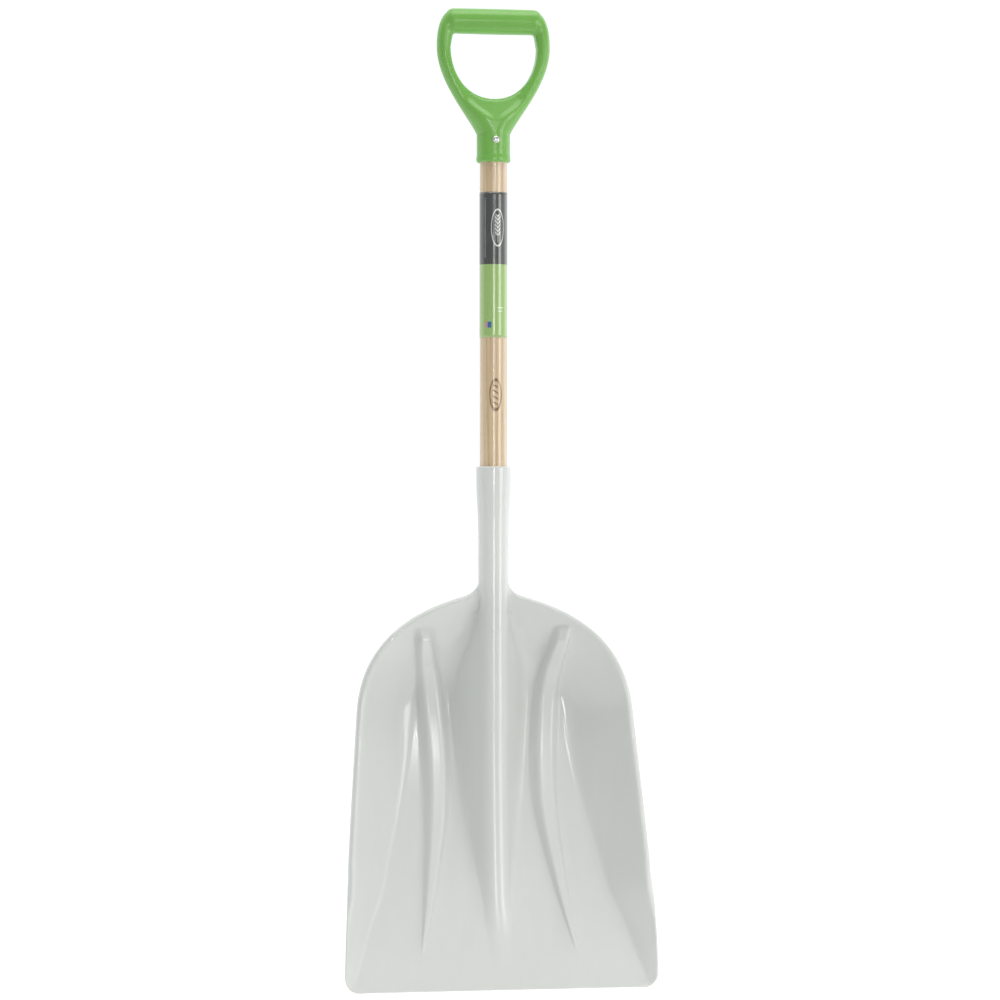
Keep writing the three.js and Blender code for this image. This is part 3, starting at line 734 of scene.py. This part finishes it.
def slope_of(field, points, step):
    """Gradient of a field by central differences."""
    shifts = np.eye(3) * step
    rises = [field(points + shift) - field(points - shift) for shift in shifts]
    return np.stack(rises, axis=1) / (2 * step)


def surface_net(field, low, high, cell):
    """Points and faces of the surface where a field crosses zero: one point in each crossed cell."""
    axes = [np.arange(low[a], high[a] + cell, cell) for a in range(3)]
    shape = tuple(len(a) for a in axes)
    grid = np.stack(np.meshgrid(*axes, indexing="ij"), axis=-1)
    value = field(grid.reshape(-1, 3)).reshape(shape)
    cells = tuple(n - 1 for n in shape)
    total = np.zeros((*cells, 3))
    count = np.zeros(cells)

    def at(corner):
        return tuple(slice(o, o + n) for o, n in zip(corner, cells))

    for corner in np.ndindex(2, 2, 2):
        for axis in range(3):
            if corner[axis]:
                continue
            other = tuple(1 if a == axis else o for a, o in enumerate(corner))
            here, there = value[at(corner)], value[at(other)]
            crossed = (here < 0) != (there < 0)
            share = np.where(crossed, here / np.where(crossed, here - there, 1), 0)
            spot = grid[at(corner)] + (grid[at(other)] - grid[at(corner)]) * share[..., None]
            total += spot * crossed[..., None]
            count += crossed
    used = count > 0
    number = np.full(cells, -1)
    number[used] = np.arange(used.sum())
    points = total[used] / count[used][:, None]
    faces = []
    for axis in range(3):
        b, c = (axis + 1) % 3, (axis + 2) % 3
        inner = [slice(1, n - 1) for n in shape]
        inner[axis] = slice(0, shape[axis] - 1)
        ahead = list(inner)
        ahead[axis] = slice(1, shape[axis])
        here, there = value[tuple(inner)], value[tuple(ahead)]
        index = np.argwhere((here < 0) != (there < 0))
        leaving = (here < 0)[tuple(index.T)]
        index[:, b] += 1
        index[:, c] += 1
        ring = []
        for back_b, back_c in ((1, 1), (0, 1), (0, 0), (1, 0)):
            spot = index.copy()
            spot[:, b] -= back_b
            spot[:, c] -= back_c
            ring.append(number[tuple(spot.T)])
        quads = np.stack(ring, axis=1)
        quads[~leaving] = quads[~leaving][:, ::-1]
        faces.append(quads)
    for _ in range(SETTLE_ROUNDS):
        slope = slope_of(field, points, SETTLE_STEP)
        step = field(points) / np.maximum((slope**2).sum(axis=1), 0.05)
        points = points - slope * np.clip(step, -cell / 2, cell / 2)[:, None]
    return points, np.concatenate(faces).tolist()


def make_grip():
    low = GRIP_LOW - [0, AXIS_Y, 0] - GRIP_MARGIN
    high = GRIP_HIGH - [0, AXIS_Y, 0] + GRIP_MARGIN
    field = grip_field()
    points, faces = surface_net(field, low, high, GRIP_CELL)
    grip = make_object("grip", points, faces, "d_grip")
    slope = slope_of(field, points, GRIP_NORMAL_STEP)
    slope /= np.linalg.norm(slope, axis=1, keepdims=True)
    grip.data.normals_split_custom_set_from_vertices(slope.tolist())
    return grip


# ---- Rivet, burr and screw ----

RIVET_HEAD_RADIUS = 4.2
RIVET_TAIL_RADIUS = 3.6
BURR_RADIUS = 5.0
SCREW_HEAD_RADIUS = 4.6
SCREW_PITCH = 1.8
SCREW_THREAD_DEPTH = 0.55
RIVET_SEGMENTS = 40
SCREW_SEGMENTS = 64


def dome_profile(radius, base, height, steps=9):
    """Profile points over a domed head, almost up to the axis."""
    turns = np.linspace(0, math.pi / 2 * 0.97, steps + 1)
    return [[radius * math.cos(t), base + height * math.sin(t)] for t in turns]


def hammered(strength):
    """A bend that dents a turned part a little, as a hammer or die leaves it."""

    def bend(radius, along, turn):
        dent = 1 + strength * (np.sin(5 * turn + radius) + 0.6 * np.sin(9 * turn - 2 * radius))
        return radius * dent, along

    return bend


def make_rivet():
    head_top = AXIS_Y - RIVET_LOW[1]
    tail_top = RIVET_HIGH[1] - AXIS_Y
    seat = GRIP_SOCKET_RADIUS + 0.05
    head = dome_profile(RIVET_HEAD_RADIUS, seat + 0.4, head_top - seat - 0.4)
    profile = [[r, -y] for r, y in reversed(head)]
    profile += [[RIVET_HEAD_RADIUS, -seat - 0.15], [RIVET_HEAD_RADIUS - 0.15, -seat], [RIVET_RADIUS, -seat]]
    profile += [[RIVET_RADIUS, 0], [RIVET_RADIUS, tail_top - 1.6], [RIVET_TAIL_RADIUS - 0.2, tail_top - 1.5]]
    profile += dome_profile(RIVET_TAIL_RADIUS, tail_top - 1.1, 1.1)
    place = (0, 0, RIVET_HEIGHT)
    return turned("rivet", profile, RIVET_SEGMENTS, "grip_rivet", "y", place, hammered(0.012))


def make_burr():
    inner, outer = RIVET_RADIUS + 0.1, BURR_RADIUS
    low, high = GRIP_SOCKET_RADIUS + 0.1, GRIP_SOCKET_RADIUS + 1.3
    profile = [[inner, low], [outer - 0.3, low], [outer, low + 0.3], [outer, high - 0.4]]
    profile += [[outer - 0.4, high], [inner + 0.2, high], [inner, high - 0.2], [inner, low]]
    points, faces = lathe(profile, RIVET_SEGMENTS, "y", (0, 0, RIVET_HEIGHT), hammered(0.01))
    return make_object("burr", points, faces, "grip_rivet_burr")


def make_screw():
    seat = socket_radius(SCREW_HEIGHT) + 0.05
    top = SCREW_HIGH[1] - AXIS_Y
    tip = SCREW_LOW[1] - AXIS_Y
    shank = np.arange(tip, seat - 0.2, SCREW_PITCH / 8)
    profile = [[SCREW_RADIUS * smoothstep(tip - 1.5, tip + 5, y), y] for y in shank]
    profile += [[SCREW_HEAD_RADIUS - 0.2, seat], [SCREW_HEAD_RADIUS, seat + 0.2]]
    profile += dome_profile(SCREW_HEAD_RADIUS, seat + 0.8, top - seat - 0.8, 22)

    def bend(radius, along, turn):
        thread = np.abs((along / SCREW_PITCH - turn / (2 * np.pi)) % 1 - 0.5) * 2
        threaded = (along < seat - 6) & (radius <= SCREW_RADIUS)
        groove = threaded * SCREW_THREAD_DEPTH * (1 - thread) / SCREW_RADIUS
        x, z = np.abs(radius * np.cos(turn)), np.abs(radius * np.sin(turn))
        arm = 0.5 + 0.1 * np.maximum(x, z)
        cross = smoothstep(arm + 0.25, arm - 0.1, np.minimum(x, z)) * smoothstep(2.9, 2.3, radius)
        recess = np.where(along > seat + 1, cross * (1.5 - 0.25 * radius), 0)
        return radius * (1 - groove), along - recess

    place = (0, 0, SCREW_HEIGHT)
    return turned("screw", profile, SCREW_SEGMENTS, "socket_screw", "y", place, bend)


# ---- Label ----

LABEL_COLUMNS = 150
LABEL_ROWS = 60
LABEL_FILM = 0.13
LABEL_GLUE = 0.18
LABEL_LAP_GAP = 0.03
LABEL_OVERLAP = math.radians(24)


def make_label():
    """A printed film rolled once round the shaft and lapped on itself at the back."""
    foot, top = LABEL_LOW[2], LABEL_HIGH[2]
    share = np.linspace(0, 1, LABEL_COLUMNS + 1)
    turn = np.pi / 2 - LABEL_OVERLAP / 2 + share * (2 * np.pi + LABEL_OVERLAP)
    rise = (LABEL_FILM + LABEL_LAP_GAP) * smoothstep(0.9, 0.95, share)
    rows = []
    for z in np.linspace(foot, top, LABEL_ROWS + 1):
        ripple = 0.012 * np.sin(z * 0.31 + 5 * turn) * np.sin(z * 0.057)
        edge = 0.12 * np.sin(3 * turn + 1) * (1 if z in (foot, top) else 0)
        base = SHAFT_RADIUS + LABEL_GLUE + rise + ripple
        level = z + edge + 0 * turn
        outer, inner = [
            np.stack([radius * np.cos(turn), radius * np.sin(turn), level], axis=1)
            for radius in (base + LABEL_FILM, base)
        ]
        rows.append(np.concatenate([outer, inner[::-1]]))
    around = len(rows[0])
    points = np.concatenate(rows)
    faces = grid_faces(len(rows), around)
    close_rings(faces, len(rows), around, rungs(around))
    height = (points[:, 2] - foot) / (top - foot)
    angle = np.arctan2(points[:, 0], -points[:, 1]) / (2 * np.pi) + 0.5
    return make_object("label", points, faces, "label_wrap", np.stack([angle, height], axis=1))


# ---- Stage ----

FLOOR_RADII = (0.3, 0.7, 1.2, 2, 4, 8, 14, 25)
FLOOR_SEGMENTS = 48


def make_stage():
    """A pale floor under the shovel, wide enough to reach the horizon."""
    turns = np.arange(FLOOR_SEGMENTS) / FLOOR_SEGMENTS * 2 * math.pi
    points = [(0, 0, 0)]
    points += [(r * math.cos(t), r * math.sin(t), 0) for r in FLOOR_RADII for t in turns]
    faces = grid_faces(len(FLOOR_RADII), FLOOR_SEGMENTS, start=1)
    faces += [[0, 1 + n, 1 + (n + 1) % FLOOR_SEGMENTS] for n in range(FLOOR_SEGMENTS)]
    floor = add_mesh("floor", points, faces)
    return floor


# ---- Camera ----

CAMERA_AZIMUTH = math.radians(-10)
CAMERA_DISTANCE = 4.2
CAMERA_HEIGHT = 0.557
CAMERA_VIEW_WIDTH = 1.153
CAMERA_SIDE_STEP = 0.0077
SENSOR_WIDTH = 36


def make_camera():
    data = bpy.data.cameras.new("camera")
    data.sensor_width = SENSOR_WIDTH
    data.lens = SENSOR_WIDTH * CAMERA_DISTANCE / CAMERA_VIEW_WIDTH
    camera = add_object("camera", data)
    right = Vector((math.cos(CAMERA_AZIMUTH), math.sin(CAMERA_AZIMUTH), 0))
    back = Vector((math.sin(CAMERA_AZIMUTH), -math.cos(CAMERA_AZIMUTH), 0))
    aim = Vector((0, AXIS_Y * MM, CAMERA_HEIGHT)) + right * CAMERA_SIDE_STEP
    camera.location = aim + back * CAMERA_DISTANCE
    camera.rotation_euler = (math.pi / 2, 0, CAMERA_AZIMUTH)
    bpy.context.scene.camera = camera


# ---- Node trees ----


def srgb(red, green, blue):
    """A linear colour from 0-255 display values."""
    values = [c / 255 for c in (red, green, blue)]
    return (*[c / 12.92 if c <= 0.04045 else ((c + 0.055) / 1.055)**2.4 for c in values], 1)


class Nodes:
    """A node tree, with short ways to add the nodes used here."""

    def __init__(self, tree):
        self.tree = tree

    def node(self, kind, values, **settings):
        made = self.tree.nodes.new(kind)
        for key, value in settings.items():
            setattr(made, key, value)
        for key, value in values.items():
            self.put(made.inputs[key], value)
        return made

    def put(self, socket, value):
        if isinstance(value, bpy.types.NodeSocket):
            self.tree.links.new(value, socket)
        else:
            socket.default_value = value

    def place(self, scale=(1, 1, 1), offset=(0, 0, 0)):
        """Object coordinates in metres, stretched by scale."""
        where = self.node("ShaderNodeTexCoord", {}).outputs["Object"]
        values = {"Vector": where, "Scale": scale, "Location": offset}
        return self.node("ShaderNodeMapping", values).outputs[0]

    def axes(self, vector):
        return self.node("ShaderNodeSeparateXYZ", {"Vector": vector}).outputs

    def noise(self, vector, scale, detail=3.0, roughness=0.5, distortion=0.0):
        values = {"Vector": vector, "Scale": scale, "Detail": detail}
        values |= {"Roughness": roughness, "Distortion": distortion}
        return self.node("ShaderNodeTexNoise", values).outputs["Fac"]

    def math(self, operation, *values):
        return self.node("ShaderNodeMath", dict(enumerate(values)), operation=operation).outputs[0]

    def plus(self, a, b):
        return self.math("ADD", a, b)

    def minus(self, a, b):
        return self.math("SUBTRACT", a, b)

    def times(self, a, b):
        return self.math("MULTIPLY", a, b)

    def away(self, value, centre):
        """How far a value is from a centre, on either side."""
        return self.math("ABSOLUTE", self.minus(value, centre))

    def stripes(self, value):
        """Falls from 0.5 to 0 and rises again within each whole step of a value."""
        return self.away(self.math("FRACT", value), 0.5)

    def length(self, x, y):
        squares = self.plus(self.math("POWER", x, 2.0), self.math("POWER", y, 2.0))
        return self.math("SQRT", squares)

    def band(self, value, low, high, to_low=0.0, to_high=1.0):
        """Smooth step of a value between low and high, onto to_low and to_high."""
        values = {"Value": value, "From Min": low, "From Max": high, "To Min": to_low, "To Max": to_high}
        return self.node("ShaderNodeMapRange", values, interpolation_type="SMOOTHSTEP").outputs["Result"]

    def blend(self, factor, a, b):
        return self.node("ShaderNodeMix", {0: factor, 6: a, 7: b}, data_type="RGBA").outputs[2]

    def bump(self, height, distance, strength, normal=None):
        values = {"Height": height, "Distance": distance, "Strength": strength}
        if normal is not None:
            values["Normal"] = normal
        return self.node("ShaderNodeBump", values).outputs["Normal"]


class Shader(Nodes):
    """A material with its node tree and its surface."""

    def __init__(self, name):
        self.material = bpy.data.materials.new(name)
        self.material.use_nodes = True
        super().__init__(self.material.node_tree)
        self.surface = self.tree.nodes["Principled BSDF"]

    def set(self, **values):
        for key, value in values.items():
            self.put(self.surface.inputs[key.replace("_", " ")], value)


# ---- Lights ----

LIGHT_COLOUR = (1.0, 0.99, 0.965)
AIR_COLOUR = (0.965, 0.995, 1.0)
WORLD_FRONT = 0.14
WORLD_BACK = 1.06
WORLD_TOP = 0.12


def area_light(name, azimuth, distance, width, low, high, radiance, aim_height=None):
    """A softbox round the shovel, in metres, whose azimuth runs from straight in front to the right.

    It stands upright between low and high, or is turned to face the axis at aim_height.
    """
    data = bpy.data.lights.new(name, "AREA")
    data.shape = "RECTANGLE"
    data.size, data.size_y = width, high - low
    data.energy = radiance * math.pi * width * (high - low)
    data.color = LIGHT_COLOUR
    light = add_object(name, data)
    a = math.radians(azimuth)
    away = Vector((math.sin(a), -math.cos(a), 0))
    light.location = away * distance + Vector((0, AXIS_Y * MM, (low + high) / 2))
    if aim_height is not None:
        away = light.location - Vector((0, AXIS_Y * MM, aim_height))
    light.rotation_euler = away.to_track_quat("Z", "Y").to_euler()


def make_lights():
    area_light("key", azimuth=45, distance=5.0, width=1.8, low=0.0, high=1.65, radiance=5.0)
    area_light("side_panel", azimuth=92, distance=4.0, width=5.6, low=0.0, high=1.9, radiance=0.65)
    area_light("strip", azimuth=-5, distance=5.0, width=0.3, low=0.1, high=1.2, radiance=26.0)
    area_light("spark", azimuth=6, distance=5.0, width=0.34, low=1.42, high=1.8, radiance=28.0)
    area_light(
        "overhead", azimuth=4, distance=0.95, width=4.4, low=3.0, high=5.6, radiance=2.8, aim_height=0.4,
    )


def make_world():
    """Even studio white: brightest overhead and behind the shovel, dimmer in front of it."""
    world = bpy.data.worlds.new("studio")
    world.use_nodes = True
    nodes = Nodes(world.node_tree)
    _, back, up = nodes.axes(nodes.node("ShaderNodeTexCoord", {}).outputs["Generated"])
    behind = nodes.band(back, -0.1, 0.25, WORLD_FRONT, WORLD_BACK)
    overhead = nodes.band(up, 0.15, 0.8, 0.0, WORLD_TOP)
    background = world.node_tree.nodes["Background"].inputs
    nodes.put(background["Strength"], nodes.plus(behind, overhead))
    nodes.put(background["Color"], (*AIR_COLOUR, 1))
    bpy.context.scene.world = world


# ---- Materials ----

# Heights in metres where the blade's painted shade gives way to the socket's own colour
SHEET_PAINTED_SHADE_TOP = 0.425
SOCKET_UNSHADED_FOOT = 0.475
WEAR_TOP = 0.32
WEAR_FULL = 0.2
WEAR_ROUGHNESS = 0.09
HEART_X, HEART_Y = -0.021, -0.03
RINGS_PER_METRE = 330.0
MARK_HEIGHT = 0.678
MARK_HALF_HEIGHT = 0.020
MARK_HALF_TURN = 0.5
GREEN_TOP = 828
LABEL_RADIUS = 16.4
INK_SOFTNESS = 0.12
EMBLEM_X, EMBLEM_HEIGHT = 2.5, 126.0


def moulded_poly(name, paint, gloss, scuff_colour, scuff_amount, wear=None):
    """Glossy injection-moulded plastic: faint mottling, orange peel, handling marks."""
    s = Shader(name)
    plain = s.place()
    mottle = s.noise(plain, 9.0, 2.0)
    flow = s.noise(s.place((60, 60, 6)), 1.0, 3.0, 0.55, 0.6)
    tone = s.plus(s.times(mottle, 0.6), s.times(flow, 0.4))
    base = paint(s, s.band(tone, 0.32, 0.68))
    scratch = s.noise(s.place((900, 900, 35), (0.3, 0.1, 0.2)), 1.0, 2.0, 0.6)
    patch = s.band(s.noise(plain, 26.0, 3.0, 0.6), 0.52, 0.7)
    scuff = s.times(s.band(scratch, 0.66, 0.74), patch)
    base = s.blend(s.times(scuff, scuff_amount), base, scuff_colour)
    speck = s.noise(s.place(offset=(2.0, 1.0, 0.5)), 700.0, 1.0)
    rough = s.band(s.noise(plain, 60.0, 4.0, 0.6), 0.3, 0.7, gloss, gloss + 0.07)
    rough = s.plus(rough, s.times(scuff, 0.18))
    rough = s.plus(rough, s.band(speck, 0.7, 0.76, 0.0, 0.12))
    if wear is not None:
        rough = s.plus(rough, wear(s))
    peel = s.noise(plain, 330.0, 2.0)
    sink = s.noise(plain, 34.0, 2.0, 0.4)
    normal = s.bump(peel, 0.00001, 0.2)
    normal = s.bump(sink, 0.0003, 0.06, normal)
    normal = s.bump(scuff, 0.00002, 0.5, normal)
    s.set(Base_Color=base, Roughness=rough, Normal=normal, IOR=1.49)
    return s.material


def scoop_paint(s, tone):
    """Near white. The blade's sheet is painted a darker white than the socket, as painted shade for the
    scoop's deep hollow.
    """
    height = s.axes(s.place())[2]
    unshaded_socket_share = s.band(height, SHEET_PAINTED_SHADE_TOP, SOCKET_UNSHADED_FOOT)
    # Painted shade: the sheet gets a darker white than the socket, standing in for the shade in the scoop's
    # hollow
    sheet = s.blend(tone, srgb(212, 215, 212), srgb(215, 218, 215))
    socket = s.blend(tone, srgb(222, 225, 222), srgb(225, 228, 225))
    return s.blend(unshaded_socket_share, sheet, socket)


def blade_wear(s):
    """Grain sliding over the lower blade has dulled its gloss."""
    height = s.axes(s.place())[2]
    return s.band(height, WEAR_TOP, WEAR_FULL, 0.0, WEAR_ROUGHNESS)


def scoop_material():
    return moulded_poly("scoop_poly", scoop_paint, 0.1, srgb(196, 200, 194), 0.35, blade_wear)


def grip_paint(s, tone):
    return s.blend(tone, srgb(121, 183, 86), srgb(126, 188, 91))


def grip_material():
    return moulded_poly("grip_poly", grip_paint, 0.2, srgb(150, 200, 112), 0.4)


def wood_material():
    """Sanded ash under thin lacquer, with a small burnt mark."""
    s = Shader("ash_wood")
    x, y, _ = s.axes(s.place())
    warp = s.noise(s.place((14, 14, 1.6)), 1.0, 2.0)
    from_heart = s.length(s.minus(x, HEART_X), s.minus(y, HEART_Y))
    warped = s.plus(from_heart, s.times(warp, 0.012))
    rings = s.math("FRACT", s.times(warped, RINGS_PER_METRE))
    late = s.band(rings, 0.55, 0.98)
    streak = s.noise(s.place((420, 420, 5), (1, 2, 3)), 1.0, 4.0, 0.6)
    broad = s.noise(s.place((90, 90, 2.2), (4, 1, 0)), 1.0, 2.0)
    pores = s.noise(s.place((1500, 1500, 42), (7, 3, 1)), 1.0, 2.0)
    pore = s.times(s.band(pores, 0.6, 0.7), s.band(rings, 0.4, 0.1, 0.25, 1.0))
    colour = s.blend(s.band(broad, 0.35, 0.65), srgb(218, 197, 161), srgb(231, 210, 180))
    colour = s.blend(s.times(late, 0.65), colour, srgb(200, 165, 122))
    colour = s.blend(s.band(streak, 0.42, 0.7, 0.0, 0.65), colour, srgb(196, 160, 128))
    colour = s.blend(s.times(pore, 0.65), colour, srgb(150, 112, 76))
    mark = burnt_mark(s)
    char = s.times(mark, s.band(s.noise(s.place((600, 600, 60)), 1.0), 0.3, 0.6, 0.6, 1.0))
    colour = s.blend(char, colour, srgb(128, 92, 62))
    rough = s.band(streak, 0.3, 0.7, 0.3, 0.42)
    normal = s.bump(s.minus(streak, pore), 0.00006, 0.5)
    normal = s.bump(s.minus(1.0, mark), 0.0001, 0.6, normal)
    s.set(Base_Color=colour, Roughness=rough, Normal=normal, Coat_Weight=1.0, Coat_Roughness=0.16)
    return s.material


def burnt_mark(s):
    """A burnt stamp facing front: a ring with slanting bars in it."""
    x, y, z = s.axes(s.place())
    turn = s.math("ARCTAN2", x, s.minus(AXIS_Y * MM, y))
    u = s.math("DIVIDE", turn, MARK_HALF_TURN)
    v = s.math("DIVIDE", s.minus(z, MARK_HEIGHT), MARK_HALF_HEIGHT)
    ring = s.band(s.away(s.length(u, v), 0.86), 0.14, 0.05)
    bars = s.stripes(s.plus(s.times(v, 3.0), s.times(u, 0.7)))
    bars = s.times(s.band(bars, 0.2, 0.1), s.band(s.math("ABSOLUTE", u), 0.46, 0.38))
    bars = s.times(bars, s.band(s.math("ABSOLUTE", v), 0.62, 0.56))
    facing = s.math("LESS_THAN", y, AXIS_Y * MM)
    return s.times(s.math("MAXIMUM", ring, bars), facing)


def label_material():
    """Printed film: dark grey above, leaf green below, with a plain ear-of-grain emblem."""
    s = Shader("label_film")
    wrap = s.node("ShaderNodeUVMap", {}, uv_map="wrap").outputs["UV"]
    u, v, _ = s.axes(wrap)
    across = s.times(s.minus(u, 0.5), 2 * math.pi * LABEL_RADIUS)
    height = float(LABEL_HIGH[2] - LABEL_LOW[2])
    up = s.times(v, height)
    split = (GREEN_TOP - float(LABEL_LOW[2])) / height
    plain = s.place()
    dark = s.blend(s.noise(plain, 50.0, 2.0), srgb(79, 82, 81), srgb(85, 88, 87))
    green = s.blend(s.noise(plain, 40.0, 2.0), srgb(160, 193, 120), srgb(166, 199, 126))
    colour = s.blend(s.band(v, split - 0.0015, split + 0.0015), green, dark)
    for ink, amount in label_inks(s, across, up):
        colour = s.blend(amount, colour, ink)
    crease = s.noise(s.place((70, 70, 9)), 1.0)
    dust = s.noise(plain, 900.0, 1.0)
    rough = s.plus(s.band(crease, 0.3, 0.7, 0.2, 0.3), s.band(dust, 0.7, 0.75, 0.0, 0.12))
    normal = s.bump(crease, 0.0002, 0.2)
    s.set(Base_Color=colour, Roughness=rough, Normal=normal, Coat_Weight=1.0, Coat_Roughness=0.13)
    return s.material


def label_inks(s, across, up):
    """Each ink's colour and coverage, placed in millimetres round and up the label."""

    def line(value, centre, half):
        return s.band(s.away(value, centre), half + INK_SOFTNESS, half - INK_SOFTNESS)

    def patch(x, half_x, z, half_z):
        return s.times(line(across, x, half_x), line(up, z, half_z))

    white = srgb(226, 228, 226)
    oval = s.length(
        s.math("DIVIDE", s.minus(across, EMBLEM_X), 8.0),
        s.math("DIVIDE", s.minus(up, EMBLEM_HEIGHT), 22.0),
    )
    frame_line = s.band(s.away(oval, 0.95), 0.06, 0.03)
    side = s.away(across, EMBLEM_X)
    climb = s.minus(up, s.times(side, 1.4))
    grains = s.stripes(s.math("DIVIDE", climb, 4.4))
    grains = s.times(s.band(grains, 0.3, 0.22), s.band(side, 3.3, 2.9))
    grains = s.times(grains, line(up, EMBLEM_HEIGHT + 3.0, 12.0))
    stalk = patch(EMBLEM_X, 0.3, EMBLEM_HEIGHT - 2.0, 15.0)
    yield white, s.math("MAXIMUM", frame_line, s.math("MAXIMUM", grains, stalk))
    dots = s.stripes(s.math("DIVIDE", up, 2.4))
    dots = s.times(s.band(dots, 0.3, 0.2), patch(-13.0, 0.5, EMBLEM_HEIGHT, 34.0))
    yield white, s.times(dots, 0.8)
    yield srgb(70, 110, 170), patch(-7.5, 2.4, 14.5, 3.4)
    yield srgb(214, 150, 170), patch(-12.0, 1.5, 14.5, 3.4)
    for half_width, height in ((4.2, 34.0), (3.0, 30.0)):
        yield srgb(232, 238, 220), s.times(patch(5.5, half_width, height, 0.5), 0.9)


def steel_material():
    """Zinc-plated steel with a fine spangle and a few dull spots."""
    s = Shader("zinc_steel")
    cells = s.node("ShaderNodeTexVoronoi", {"Vector": s.place(), "Scale": 1600.0}).outputs["Color"]
    spangle = s.axes(cells)[0]
    dull = s.noise(s.place(), 500.0)
    colour = s.blend(s.band(dull, 0.5, 0.7), srgb(226, 229, 227), srgb(188, 190, 184))
    rough = s.plus(s.band(spangle, 0.0, 1.0, 0.34, 0.42), s.band(dull, 0.55, 0.7, 0.0, 0.2))
    normal = s.bump(dull, 0.00002, 0.3)
    s.set(Base_Color=colour, Metallic=1.0, Roughness=rough, Normal=normal)
    return s.material


def stage_material():
    """Pale paper with a painted glow: it gives off light around and behind the shovel, so it shows white
    there, and fades out in front of it.
    """
    s = Shader("stage_white")
    paper = s.noise(s.place(), 3.0)
    # Painted glow: the floor emits light though it is no lamp, full from 0.2 m in front of the shovel
    # backwards, none beyond 1.2 m in front
    painted_glow = s.band(s.axes(s.place())[1], -1.2, -0.2, 0.0, 0.72)
    s.set(Base_Color=s.blend(paper, srgb(176, 176, 176), srgb(179, 179, 179)), Roughness=0.9)
    s.set(Emission_Color=(1, 1, 1, 1), Emission_Strength=painted_glow)
    return s.material


def dress(obj, material):
    obj.data.materials.append(material)


make_camera()
make_lights()
make_world()
dress(make_stage(), stage_material())
dress(make_scoop(), scoop_material())
dress(make_grip(), grip_material())
dress(make_shaft(), wood_material())
dress(make_label(), label_material())
steel = steel_material()
dress(make_rivet(), steel)
dress(make_burr(), steel)
dress(make_screw(), steel)

scene = bpy.context.scene
scene.view_settings.view_transform = "Standard"
scene.view_settings.look = "None"
